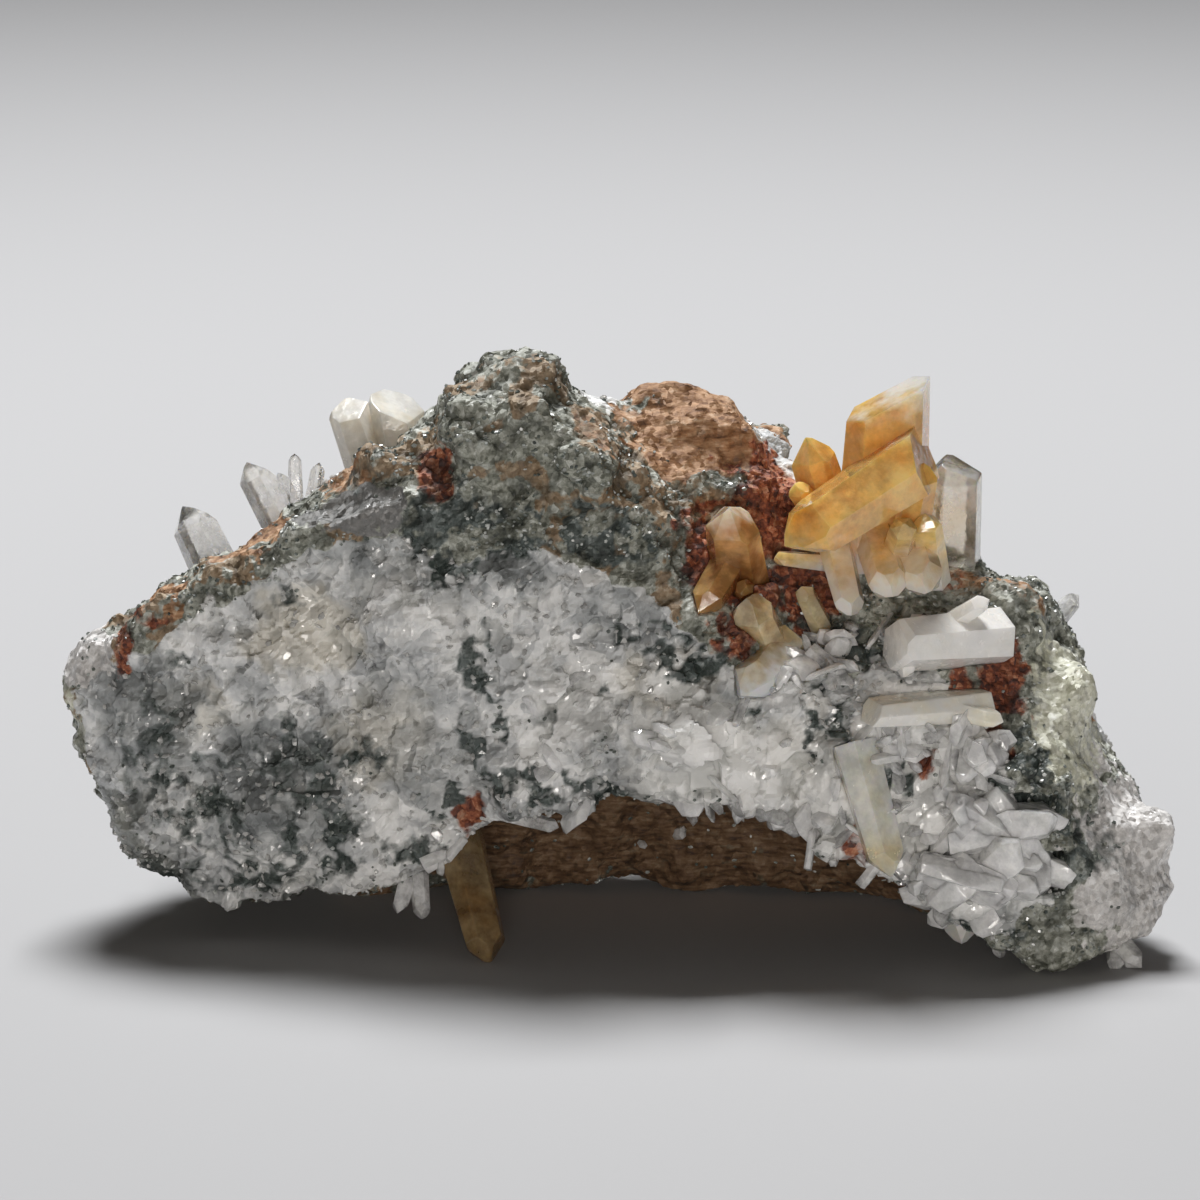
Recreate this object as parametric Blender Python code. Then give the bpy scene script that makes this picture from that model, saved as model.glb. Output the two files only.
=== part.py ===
# Chlorite quartz: an arched piece of chlorite schist and white vein quartz
# with clear, amber and orange quartz crystals grown on it.
# Metres, +Z up. The broken vein faces -Y, and the specimen stands on z = 0.

import math
import random

import bmesh
import bpy
import numpy as np
from mathutils import Matrix, Vector, noise

MM = 0.001

# Driving dimensions, in millimetres
SOCKET_GAP = 0.3        # clearance between a crystal and the rock that holds it
STATION_STEP = 4.0      # distance between the cross sections of the rock
FIRST_VOXEL = 1.3       # grid that melts the rock's lumps together
ROCK_TRIANGLES = 4600
CENTRE_SHIFT = (0.33, -18.86, 0.0)    # brings the middle of the specimen's box over the origin
FLOOR = Vector((0.0, 0.0, 0.0))
UP = Vector((0.0, 0.0, 1.0))

# Quartz angles, in degrees
TIP_FACE_TILT = 51.8    # between a tip face's normal and the long axis
PRISM_TAPER = 2.0

# Long edges of the rock, each a line of (x, y, z) in millimetres from the left end to the right
FRONT_BOTTOM = [
    (-66.3, 12, 31.3), (-64.1, 10, 26.9), (-60.7, 9, 16.5), (-58.5, 9, 9.5), (-54.2, 8, 8.8),
    (-49.0, 8, 4.0), (-37.6, 5, 5.6), (-32.9, 4, 5.7), (-21.1, 2, 11.1), (-14.0, -1, 15.9),
    (-3.6, -3, 17.6), (2.2, -4, 19.6), (9.1, -5, 17.0), (16.0, -6, 17.6), (24.1, -7, 14.6),
    (31.0, -8, 9.7), (41.9, -9, 5.0), (48.2, -9, 1.5), (54.0, -8, 0.8), (62.5, -4, 3.5),
    (65.6, 1, 6.5),
]
FRONT_MIDDLE = [
    (-66.4, 12, 31.4), (-60.0, 7.5, 24), (-48.0, 6, 22), (-36.0, 3.5, 28), (-24.0, 0, 32),
    (-14.0, -1.5, 33), (-2.0, -2, 33), (8.0, -4, 29), (18.0, -6.5, 26), (28.0, -7.5, 22),
    (40.0, -7.5, 15), (50.0, -9.0, 10), (58.0, -6.5, 8), (65.7, 1.5, 7),
]
LIP = [
    (-66.4, 12.2, 31.5), (-59.7, 8, 34.8), (-47.7, 6, 42.2), (-33.7, 5, 50.3), (-23.1, 2, 53.0),
    (-16.2, 0.5, 49.5), (-7.0, 0, 49.6), (2.2, -1, 47.0), (7.9, -2, 41.0), (13.7, -4, 35.0),
    (26.2, -6, 32.1), (37.7, -7, 28.0), (48.1, -7, 22.9), (55.3, -4.5, 17.4), (62.8, 0, 11.6),
    (65.7, 2, 7.2),
]
CREST = [
    (-66.4, 12.6, 31.7), (-60.0, 11, 35.9), (-48.0, 10, 43.2), (-34.0, 9.5, 51.4), (-24.4, 5, 55.2),
    (-19.7, 3.5, 60.0), (-11.6, 2, 62.5), (-2.4, 2, 60.9), (4.5, 2.5, 54.5), (11.6, 2.5, 46.5),
    (18.7, 1.5, 39.5), (28.0, 2.5, 37.0), (37.4, 2, 37.5), (44.0, 1.5, 36.0), (51.0, 1, 30.5),
    (57.0, 0, 18.5), (63.0, 1, 12.9), (65.8, 2.6, 7.4),
]
UPPER_FRONT = [
    (-66.4, 13, 31.8), (-60.0, 12.5, 36.5), (-48.0, 13, 43.8), (-34.0, 13.5, 52.4), (-24.0, 10, 58.2),
    (-18.5, 8, 66.5), (-10.0, 7.5, 67.5), (-4.0, 8, 62.0), (2.0, 10, 59.0), (10.0, 12, 57.0),
    (18.0, 11, 50.0), (26.0, 9.5, 45.5), (34.0, 9.5, 45.0), (41.0, 8.5, 42.5), (47.0, 8, 39.5),
    (53.0, 6.5, 33.0), (57.5, 5, 20.5), (65.8, 3, 7.5),
]
RIDGE = [
    (-66.4, 14, 31.6), (-60.1, 14, 36.6), (-48.4, 16, 43.4), (-36.6, 17, 51.0), (-31.2, 16, 56.0),
    (-25.8, 15, 58.5), (-21.1, 14, 64.0), (-16.4, 13, 69.6), (-7.6, 12.5, 69.3), (-5.6, 13, 65.0),
    (-0.6, 16, 63.7), (2.3, 19, 64.5), (11.7, 20, 63.8), (18.9, 20, 56.1), (27.2, 19, 50.4),
    (39.0, 18, 45.7), (46.0, 15, 42.5), (50.8, 14, 39.5), (55.9, 12, 29.7), (56.9, 11, 23.9),
    (62.1, 7, 17.0), (65.8, 3.4, 7.6),
]
BACK_UPPER = [
    (-66.4, 15, 31.5), (-60.0, 20, 35.5), (-50.0, 25, 40.0), (-36.0, 28, 44.0), (-24.0, 29, 50.0),
    (-12.0, 28, 59.0), (0.0, 30, 56.0), (12.0, 32, 53.0), (22.0, 31, 45.0), (34.0, 28, 40.0),
    (46.0, 23, 36.0), (54.0, 17, 27.0), (60.0, 10, 17.0), (65.8, 3.8, 7.6),
]
BACK_MIDDLE = [
    (-66.4, 16, 31.3), (-60.0, 28, 28.0), (-50.0, 36, 25.0), (-36.0, 40, 24.0), (-20.0, 42, 27.0),
    (-6.0, 42, 31.0), (6.0, 42, 30.0), (18.0, 40, 27.0), (28.0, 37, 23.0), (38.0, 32, 20.0),
    (48.0, 25, 17.0), (56.0, 17, 13.0), (65.8, 4.2, 7.4),
]
BACK_BOTTOM = [
    (-66.4, 16, 31.0), (-60.0, 27, 18.0), (-50.0, 35, 8.0), (-36.0, 38, 3.5), (-20.0, 39, 3.4),
    (-6.0, 38, 3.8), (6.0, 38, 4.2), (18.0, 37, 4.0), (28.0, 35, 3.8), (38.0, 30, 4.0),
    (48.0, 24, 4.6), (56.0, 16, 7.0), (65.8, 4.2, 7.1),
]
UNDER_BACK = [
    (-66.4, 15, 30.8), (-60.0, 23, 13.0), (-50.0, 28, 5.0), (-36.0, 30, 1.5), (-20.0, 30, 1.4),
    (-6.0, 30, 1.5), (6.0, 30, 1.7), (18.0, 29, 1.6), (28.0, 27, 1.5), (38.0, 23, 1.6),
    (48.0, 18, 2.2), (56.0, 12, 4.0), (65.7, 3.8, 6.8),
]
UNDER_MIDDLE = [
    (-66.4, 14, 30.8), (-60.0, 18, 11.0), (-50.0, 20, 4.0), (-36.0, 20, 4.5), (-22.0, 19, 9.5),
    (-8.0, 18, 18.0), (4.0, 17, 21.0), (16.0, 15, 19.0), (28.0, 12, 13.0), (40.0, 8, 5.5),
    (50.0, 5, 1.5), (58.0, 3, 2.5), (65.7, 3, 6.6),
]
UNDER_FRONT = [
    (-66.3, 13, 31.0), (-60.0, 13, 10.5), (-50.0, 12.5, 3.8), (-36.0, 11, 5.5), (-24.0, 9, 10.0),
    (-14.0, 6, 16.5), (-2.0, 4, 21.0), (8.0, 2, 21.0), (18.0, 1, 19.5), (28.0, 0, 13.0),
    (40.0, -2, 5.5), (48.0, -3, 1.0), (56.0, -2.5, 1.0), (62.5, 0, 4.0), (65.6, 2, 6.5),
]
RING_LINES = [
    FRONT_BOTTOM, FRONT_MIDDLE, LIP, CREST, UPPER_FRONT, RIDGE,
    BACK_UPPER, BACK_MIDDLE, BACK_BOTTOM, UNDER_BACK, UNDER_MIDDLE, UNDER_FRONT,
]

# Angular lumps of the rock: centre, size along x, y and z, and turn about y in degrees
LUMPS = [
    ((-11.9, 10, 66.5), (12, 10, 8), -8),       # peak
    ((-17.6, 5.8, 63.6), (9.5, 8, 6.5), 20),        # shoulder left of the peak
    ((-15.6, 2.8, 60.0), (9.5, 8, 6.5), 0),
    ((-10.0, 2.2, 63.0), (5.4, 5.4, 6.4), 0),       # bluish knob
    ((-5.0, 0.2, 57.8), (9.5, 8, 7), 10),       # lump over the dark undercut
    ((-16.0, 2.6, 58.0), (4, 4, 3.5), 0),
    ((-27.5, 8.4, 56.2), (9, 9, 6.5), -20),     # lump on the left ridge
    ((-29.8, 5.6, 51.6), (14, 7.5, 5), -14),      # flat slab under it
    ((8.5, 17, 56.5), (20, 14, 15), 25),        # brown second hump
    ((14.5, 9.5, 49.5), (13, 11, 15), 40),      # its red shoulder
    ((5.4, -3.4, 33.7), (5.4, 6, 5.6), 15),       # white knob
    ((7.6, -4.6, 27.2), (16, 8, 10), 5),         # big white mass
    ((-2.5, -2.5, 27.0), (8, 5, 9), 0),
    ((17.0, -5.5, 23.0), (7, 5, 8), 30),
    ((45.5, 6.5, 38.5), (10, 9, 8.5), 35),      # grey-green schist of the right ridge
    ((53.0, 4, 29.0), (6, 9, 13), 10),
    ((60.0, 2, 12.0), (8, 8, 14), 25),          # tip of the right limb
    ((52.0, -4, 11.5), (9, 9, 14), 10),
    ((44.0, -5.0, 15.0), (9, 6, 12), 20),
    ((35.5, -5.0, 24.0), (10, 6, 8), 20),
    ((-58.6, 10, 12.0), (4, 5, 6), 0),          # pale end knob
    ((-62.0, 12, 34.0), (6, 6, 5), -35),        # whitish rim
    ((-54.5, 9.0, 38.2), (13, 7, 5), -30),      # schist slabs along the upper left edge
    ((-45.0, 8.4, 43.8), (14, 7, 5), -30),
    ((-37.0, 8.0, 48.8), (12, 7, 5), -30),
    ((-44.0, 6.0, 33.0), (14, 7, 11), 20),      # swells of the vein face
    ((-40.0, 5.2, 15.0), (18, 6, 13), 0),
    ((-24.0, 1.6, 40.0), (14, 6, 15), 0),
    ((-30.0, 36, 30.0), (24, 14, 22), 30),      # hidden back
    ((-2.0, 38, 24.0), (22, 12, 18), 0),
    ((24.0, 32, 26.0), (20, 12, 18), -25),
    ((-48.0, 28, 24.0), (18, 14, 20), 15),
    ((14.0, 26, 56.0), (14, 12, 10), 10),
]
FEET = [
    ((50.5, -5.0, 0.6), (9, 8, 5), 0),
    ((-30.0, 33.0, 0.6), (17, 11, 6), 0),
    ((43.0, 19.0, 0.8), (12, 10, 6), 0),
]
# Hollows pressed into the rock: centre, radius and depth
HOLLOWS = [
    ((-21.7, 2.5, 57.3), 4.0, 2.6),
    ((-17.9, 0.5, 17.0), 5.0, 2.2),
    ((-4.7, -0.5, 54.6), 4.5, 1.8),
    ((40.0, -8.5, 15.8), 3.5, 2.2),
    ((-3.0, -4.0, 38.0), 6.0, 1.2),
    ((22.0, 3.0, 40.0), 5.0, 2.0),
    ((-2.0, 33.0, 16.0), 9.0, 2.5),
    ((-40.0, 40.0, 14.0), 7.0, 2.0),
]

# Every crystal: base point, tip point, width, thickness over width, roll in degrees, seed,
# and on a broken one the break: its distance below the tip and the way it faces
CRYSTALS = {
    "orange_crystal_cluster": [
        ((30.4, 9.0, 45.0), (31.4, 4.6, 74.0), 11.8, 0.6, 0, 3, (9.0, (-0.42, -0.2, 0.88))),
        ((36.8, 4.8, 59.6), (18.1, -4.4, 49.2), 10.2, 0.74, 14, 5, (21.0, (0.86, -0.2, 0.3))),
        ((33.0, 6.0, 46.0), (34.9, 2.0, 58.2), 4.6, 0.9, 20, 7),
        ((25.5, 11.0, 47.5), (21.4, 7.6, 60.4), 6.2, 0.85, 0, 11),
        ((24.5, 8.5, 48.6), (19.9, 4.4, 55.4), 3.4, 0.8, 8, 13),
        ((24.8, 6.0, 48.0), (26.6, -2.6, 41.0), 4.1, 0.8, 0, 17),
        ((29.6, 6.5, 48.8), (31.2, -3.0, 43.4), 5.1, 0.9, 10, 19),
        ((33.4, 6.0, 48.6), (35.2, -3.0, 43.9), 5.2, 0.8, 25, 23),
        ((32.0, 5.0, 46.6), (32.4, -4.2, 52.4), 3.6, 1.0, 0, 29),
        ((36.2, 6.0, 43.5), (34.9, -0.2, 52.8), 4.5, 0.8, 5, 31),
        ((25.2, 7.0, 45.4), (17.6, 1.6, 47.2), 2.8, 0.8, 0, 37),
    ],
    "clear_crystal_right": [
        ((38.6, 14.5, 44.0), (39.0, 10.4, 58.8), 7.4, 0.9, 10, 41, (2.6, (0.35, -0.3, 0.85))),
    ],
    "amber_crystals": [
        ((14.0, 7.0, 42.6), (12.4, -2.4, 53.8), 7.0, 0.8, 0, 43),
        ((14.4, 6.0, 48.6), (8.9, -2.8, 41.4), 4.8, 0.85, 12, 47),
        ((13.6, 7.0, 40.6), (14.4, -1.6, 44.6), 2.8, 0.85, 20, 53),
    ],
    "pale_yellow_crystal": [
        ((18.2, 4.0, 33.6), (14.2, -2.6, 43.6), 6.0, 0.8, 0, 59),
        ((18.6, 3.0, 36.4), (13.6, -6.4, 32.6), 6.4, 0.85, 18, 61),
    ],
    "finger_crystal": [
        ((24.4, 6.4, 36.0), (20.8, -0.2, 44.2), 3.0, 1.0, 0, 67),
    ],
    "lens_crystal": [
        ((29.6, 3.6, 35.6), (21.8, -2.0, 35.2), 2.5, 0.8, 0, 71),
    ],
    "white_block_crystal": [
        ((43.6, 3.0, 37.4), (28.6, -6.4, 38.4), 7.6, 0.85, 30, 73, (3.4, (-0.9, -0.4, 0.1))),
        ((34.6, 0.6, 40.0), (32.2, -5.0, 34.4), 3.0, 0.8, 0, 79),
        ((37.4, 0.0, 39.4), (42.4, -1.6, 43.0), 3.2, 0.8, 0, 83),
    ],
    "peach_plate_crystal": [
        ((41.6, -1.4, 30.6), (25.4, -10.0, 31.2), 6.8, 0.55, 0, 89, (3.6, (-0.8, -0.3, 0.4))),
        ((37.0, -3.4, 30.9), (44.1, -6.6, 29.6), 3.8, 0.6, 0, 97),
    ],
    "long_pale_crystal": [
        ((26.8, -6.2, 27.0), (31.0, -11.6, 12.4), 5.4, 0.9, 0, 101),
    ],
    "white_crystal_mass": [
        ((50.6, -5.6, 12.0), (30.4, -12.0, 11.6), 8.4, 0.7, 0, 103, (4.4, (-0.95, -0.2, 0.1))),
        ((38.0, -6.0, 15.4), (34.8, -12.4, 8.4), 4.6, 0.8, 0, 107),
        ((49.6, -5.0, 18.8), (35.0, -10.8, 19.4), 6.4, 0.8, 20, 109, (2.8, (-0.9, -0.3, 0.3))),
        ((44.6, -5.6, 10.0), (43.6, -12.0, 20.6), 4.6, 0.8, 5, 113),
    ],
    "white_knob_crystal": [
        ((44.0, -3.0, 26.2), (37.4, -10.2, 24.6), 5.6, 0.9, 0, 127, (2.0, (-0.6, -0.7, 0.3))),
    ],
    "under_orange_crystal": [
        ((39.9, 2.4, 7.6), (39.7, -2.4, 1.9), 4.6, 0.9, 0, 131),
    ],
    "under_clear_blade": [
        ((43.6, 1.6, 4.2), (44.1, -3.4, 0.6), 2.0, 0.8, 0, 137),
    ],
    "foot_crystals": [
        ((57.0, -2.0, 3.4), (60.4, -6.4, 0.2), 3.0, 0.8, 0, 139),
        ((57.6, -0.6, 2.6), (57.2, -6.6, 0.3), 2.4, 0.8, 0, 149),
    ],
    "hanging_yellow_crystal": [
        ((-19.4, 8.0, 14.0), (-15.0, -3.2, -0.4), 5.8, 0.85, 0, 151),
    ],
    "hanging_small_crystals": [
        ((-24.2, 8.6, 10.6), (-26.2, 4.2, 3.9), 2.5, 0.9, 0, 157),
        ((-24.0, 8.4, 10.6), (-23.2, 3.6, 3.4), 2.5, 0.9, 15, 163),
    ],
    "arch_edge_crystal": [
        ((-15.6, 4.6, 16.8), (-7.0, -0.6, 15.6), 2.6, 0.8, 0, 167),
    ],
    "round_clear_crystal": [
        ((-46.8, 21.0, 38.6), (-52.2, 25.2, 49.0), 6.0, 0.9, 0, 173),
    ],
    "smoky_crystal_cluster": [
        ((-38.2, 22.6, 43.0), (-44.6, 26.2, 54.0), 5.3, 0.8, 0, 179),
        ((-38.6, 23.0, 43.0), (-38.8, 26.2, 54.9), 2.4, 0.8, 0, 181),
        ((-37.6, 23.0, 43.0), (-35.8, 24.4, 54.2), 2.6, 0.8, 0, 191),
        ((-37.0, 23.6, 44.0), (-41.0, 27.4, 52.4), 2.6, 0.9, 0, 193),
    ],
    "cream_crystal": [
        ((-26.6, 27.0, 44.0), (-33.4, 31.0, 62.4), 7.4, 0.8, 0, 197, (2.6, (-0.2, -0.4, 0.88))),
        ((-23.6, 27.8, 46.0), (-28.0, 31.4, 64.6), 8.6, 0.7, 12, 199, (4.6, (0.35, -0.3, 0.88))),
    ],
    "ridge_right_crystal": [
        ((47.8, 21.0, 30.6), (54.9, 24.6, 38.2), 3.2, 0.8, 0, 211),
    ],
    "back_spray_crystals": [
        ((-8.0, 32.0, 44.0), (-13.0, 44.6, 58.5), 8.0, 0.85, 0, 223),
        ((-5.0, 33.0, 43.0), (1.4, 45.6, 53.0), 6.0, 0.9, 10, 227),
        ((-10.0, 34.0, 42.0), (-21.6, 44.0, 50.5), 5.0, 0.8, 0, 229),
        ((-6.0, 35.0, 40.0), (-6.6, 49.6, 43.0), 6.0, 0.8, 5, 233),
    ],
    "back_clear_crystals": [
        ((15.0, 34.0, 38.0), (18.4, 47.6, 45.0), 7.0, 0.85, 0, 239),
        ((17.0, 34.0, 36.0), (26.6, 45.0, 38.0), 4.6, 0.9, 0, 241),
    ],
    "back_right_crystal": [
        ((31.0, 32.0, 27.0), (37.0, 43.6, 28.6), 6.0, 0.85, 0, 251),
    ],
    "back_left_crystals": [
        ((-44.0, 33.0, 26.0), (-52.4, 44.6, 31.4), 6.4, 0.85, 0, 257),
        ((-42.0, 34.0, 25.0), (-43.0, 47.6, 24.0), 5.0, 0.85, 0, 263),
    ],
    "back_orange_crystals": [
        ((1.0, 37.0, 22.0), (3.4, 52.0, 21.0), 8.0, 0.8, 0, 269),
        ((3.0, 37.0, 20.0), (11.4, 48.4, 15.6), 5.0, 0.85, 0, 271),
        ((0.0, 37.0, 22.0), (-6.6, 47.6, 16.6), 4.4, 0.85, 0, 277),
    ],
    "back_low_crystal": [
        ((-24.0, 36.0, 14.0), (-25.4, 48.4, 12.0), 5.4, 0.85, 0, 281),
    ],
}

# Colour, roughness and transmission of each kind of surface
FINISHES = {
    "schist": ((0.36, 0.37, 0.36), 0.75, 0.0),
    "orange": ((0.85, 0.45, 0.10), 0.15, 0.6),
    "amber": ((0.75, 0.42, 0.12), 0.18, 0.6),
    "yellow": ((0.84, 0.74, 0.48), 0.22, 0.5),
    "white": ((0.86, 0.85, 0.84), 0.35, 0.2),
    "peach": ((0.88, 0.68, 0.52), 0.25, 0.4),
    "clear": ((0.86, 0.88, 0.88), 0.08, 0.9),
    "cream": ((0.90, 0.84, 0.72), 0.2, 0.6),
}
KIND_OF_CRYSTAL = {
    "orange_crystal_cluster": "orange",
    "amber_crystals": "amber",
    "pale_yellow_crystal": "yellow",
    "finger_crystal": "yellow",
    "white_block_crystal": "white",
    "peach_plate_crystal": "peach",
    "long_pale_crystal": "yellow",
    "white_crystal_mass": "white",
    "white_knob_crystal": "white",
    "under_orange_crystal": "orange",
    "hanging_yellow_crystal": "yellow",
    "cream_crystal": "cream",
    "back_orange_crystals": "orange",
}


def millimetres(point):
    return Vector(point) * MM


def clear_scene():
    for obj in list(bpy.data.objects):
        bpy.data.objects.remove(obj, do_unlink=True)


def add_object(name, mesh):
    obj = bpy.data.objects.new(name, mesh)
    bpy.context.scene.collection.objects.link(obj)
    return obj


def mesh_from(name, bm):
    mesh = bpy.data.meshes.new(name)
    bm.to_mesh(mesh)
    bm.free()
    return mesh


def hide_helper(obj):
    obj.hide_render = True
    obj.display_type = "WIRE"


def finish(kind):
    colour, roughness, transmission = FINISHES[kind]
    material = bpy.data.materials.get(kind)
    if material is None:
        material = bpy.data.materials.new(kind)
        material.use_nodes = True
        shader = material.node_tree.nodes["Principled BSDF"]
        shader.inputs["Base Color"].default_value = (*colour, 1.0)
        shader.inputs["Roughness"].default_value = roughness
        shader.inputs["Metallic"].default_value = 0.0
        shader.inputs["Transmission Weight"].default_value = transmission
        material.diffuse_color = (*colour, 1.0)
    return material


def applied_mesh(obj, name):
    # The object's mesh with its modifiers worked out
    graph = bpy.context.evaluated_depsgraph_get()
    graph.update()
    return bpy.data.meshes.new_from_object(obj.evaluated_get(graph))


# Quartz crystals

def cut_off(bm, point, normal):
    # Slices away what lies beyond the plane and closes the cut
    geometry = bm.verts[:] + bm.edges[:] + bm.faces[:]
    cut = bmesh.ops.bisect_plane(
        bm, geom=geometry, dist=1e-7, plane_co=point, plane_no=normal, clear_outer=True
    )
    edges = [item for item in cut["geom_cut"] if isinstance(item, bmesh.types.BMEdge)]
    bmesh.ops.holes_fill(bm, edges=edges)


def quartz_mesh(name, crystal, grow=0.0):
    # A six-sided prism with six tip faces of unequal size, its long axis along z
    base, tip, width, thickness, roll, seed = crystal[:6]
    length = (Vector(tip) - Vector(base)).length
    draw = random.Random(seed)
    bm = bmesh.new()
    bmesh.ops.create_cube(bm, size=4.0 * (length + width) * MM)
    for side in range(6):
        angle = math.radians(60.0 * side + 30.0)
        reach = draw.uniform(0.88, 1.0) * width / 2.0
        reach *= math.hypot(math.cos(angle), thickness * math.sin(angle))
        taper = math.radians(PRISM_TAPER)
        normal = Vector((
            math.cos(angle) * math.cos(taper),
            math.sin(angle) * math.cos(taper),
            math.sin(taper),
        ))
        foot = Vector((math.cos(angle), math.sin(angle), 0.0)) * (reach + grow) * MM
        cut_off(bm, foot, normal)
    tilt = math.radians(TIP_FACE_TILT)
    for side in range(6):
        angle = math.radians(60.0 * side + 30.0)
        small_face = side % 2 == 1
        drop = draw.uniform(0.0, 0.10) if not small_face else draw.uniform(-0.12, 0.06)
        normal = Vector((
            math.cos(angle) * math.sin(tilt),
            math.sin(angle) * math.sin(tilt),
            math.cos(tilt),
        ))
        apex = Vector((0.0, 0.0, length - drop * width))
        cut_off(bm, apex * MM + normal * grow * MM, normal)
    cut_off(bm, UP * -grow * MM, -UP)
    axis = (Vector(tip) - Vector(base)).normalized()
    turn = axis.to_track_quat("Z", "Y").to_matrix().to_4x4()
    spin = Matrix.Rotation(math.radians(roll), 4, "Z")
    bm.transform(Matrix.Translation(millimetres(base)) @ turn @ spin)
    for drop, facing in crystal[6:]:
        way = Vector(facing).normalized()
        cut_off(bm, (Vector(tip) - axis * drop + way * grow) * MM, way)
    cut_off(bm, FLOOR, -UP)
    bmesh.ops.recalc_face_normals(bm, faces=bm.faces[:])
    if bm.calc_volume(signed=True) < 0:
        bmesh.ops.reverse_faces(bm, faces=bm.faces[:])
    return mesh_from(name, bm)


def make_crystals(name, crystals, grow=0.0):
    # Crystals that grew into one another are one solid
    first = add_object(name, quartz_mesh(name, crystals[0], grow))
    if len(crystals) == 1:
        return first
    group = bpy.data.collections.new(name + "_neighbours")
    for number, crystal in enumerate(crystals[1:], 1):
        label = f"{name}_{number}"
        helper = bpy.data.objects.new(label, quartz_mesh(label, crystal, grow))
        group.objects.link(helper)
        hide_helper(helper)
    bpy.context.scene.collection.children.link(group)
    union = first.modifiers.new("grown together", "BOOLEAN")
    union.operation = "UNION"
    union.solver = "EXACT"
    union.operand_type = "COLLECTION"
    union.collection = group
    return first


# Rock

def station_points(x):
    # The ring of the rock at this distance along it
    ring = []
    for line in RING_LINES:
        xs, ys, zs = zip(*line)
        ring.append(Vector((x, np.interp(x, xs, ys), np.interp(x, xs, zs))) * MM)
    return ring


def lofted_body(bm):
    first = max(line[0][0] for line in RING_LINES)
    last = min(line[-1][0] for line in RING_LINES)
    count = round((last - first) / STATION_STEP)
    rings = []
    for x in np.linspace(first, last, count + 1):
        rings.append([bm.verts.new(point) for point in station_points(x)])
    points_round = len(RING_LINES)
    for here, beyond in zip(rings, rings[1:]):
        for i in range(points_round):
            j = (i + 1) % points_round
            bm.faces.new((here[i], here[j], beyond[j], beyond[i]))
    bm.faces.new(rings[0])
    bm.faces.new(rings[-1])


def angular_lump(bm, centre, size, turn, seed):
    # A boulder with flat facets: the hull of points scattered over an ellipsoid
    draw = random.Random(seed)
    place = Matrix.Translation(millimetres(centre)) @ Matrix.Rotation(math.radians(turn), 4, "Y")
    points = []
    for _ in range(16):
        way = Vector((draw.gauss(0, 1), draw.gauss(0, 1), draw.gauss(0, 1))).normalized()
        corner = Vector((way.x * size[0], way.y * size[1], way.z * size[2])) * 0.55 * MM
        points.append(bm.verts.new(place @ corner))
    hull = bmesh.ops.convex_hull(bm, input=points)
    spare = [item for item in hull["geom_interior"] if isinstance(item, bmesh.types.BMVert)]
    bmesh.ops.delete(bm, geom=spare, context="VERTS")


def voxel_remesh(obj, voxel):
    remesh = obj.modifiers.new("remesh", "REMESH")
    remesh.mode = "VOXEL"
    remesh.voxel_size = voxel * MM
    mesh = applied_mesh(obj, obj.name)
    obj.modifiers.clear()
    obj.data = mesh


def broken_relief(point):
    # Height of the broken surface at a point, in millimetres
    place = point / MM
    swell = noise.noise(place / 9.0) * 1.3
    lumps = noise.noise(place / 3.6 + Vector((7.0, 1.0, 4.0))) * 0.8
    distances, cells = noise.voronoi(place / 4.2)
    facing = noise.cell_vector(cells[0] * 1.7)
    facet = (place / 4.2 - cells[0]).dot(facing) * 1.5
    return swell + lumps + facet


def roughen(mesh):
    moved = []
    for vertex in mesh.vertices:
        point = vertex.co.copy()
        height = broken_relief(point)
        for centre, radius, depth in HOLLOWS:
            away = (point / MM - Vector(centre)).length
            if away < radius:
                height -= depth * (1.0 - (away / radius) ** 2)
        moved.append(point + vertex.normal * height * MM)
    for vertex, point in zip(mesh.vertices, moved):
        vertex.co = point


def keep_largest(mesh):
    bm = bmesh.new()
    bm.from_mesh(mesh)
    waiting = set(bm.verts)
    shells = []
    while waiting:
        shell = {waiting.pop()}
        edge_of_shell = list(shell)
        while edge_of_shell:
            vert = edge_of_shell.pop()
            for edge in vert.link_edges:
                other = edge.other_vert(vert)
                if other not in shell:
                    shell.add(other)
                    edge_of_shell.append(other)
        waiting -= shell
        shells.append(shell)
    shells.sort(key=len)
    for shell in shells[:-1]:
        bmesh.ops.delete(bm, geom=list(shell), context="VERTS")
    bm.to_mesh(mesh)
    bm.free()


def make_rock():
    bm = bmesh.new()
    lofted_body(bm)
    for seed, (centre, size, turn) in enumerate(LUMPS + FEET):
        angular_lump(bm, centre, size, turn, seed)
    bmesh.ops.recalc_face_normals(bm, faces=bm.faces[:])
    rock = add_object("matrix_rock", mesh_from("matrix_rock", bm))
    voxel_remesh(rock, FIRST_VOXEL)
    roughen(rock.data)
    voxel_remesh(rock, FIRST_VOXEL)
    thin = rock.modifiers.new("facets", "DECIMATE")
    thin.ratio = ROCK_TRIANGLES / (2.0 * len(rock.data.polygons))
    mesh = applied_mesh(rock, "matrix_rock")
    rock.modifiers.clear()
    bm = bmesh.new()
    bm.from_mesh(mesh)
    cut_off(bm, FLOOR, -UP)
    bmesh.ops.triangulate(bm, faces=bm.faces[:])
    bm.to_mesh(mesh)
    bm.free()
    rock.data = mesh
    return rock


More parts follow.
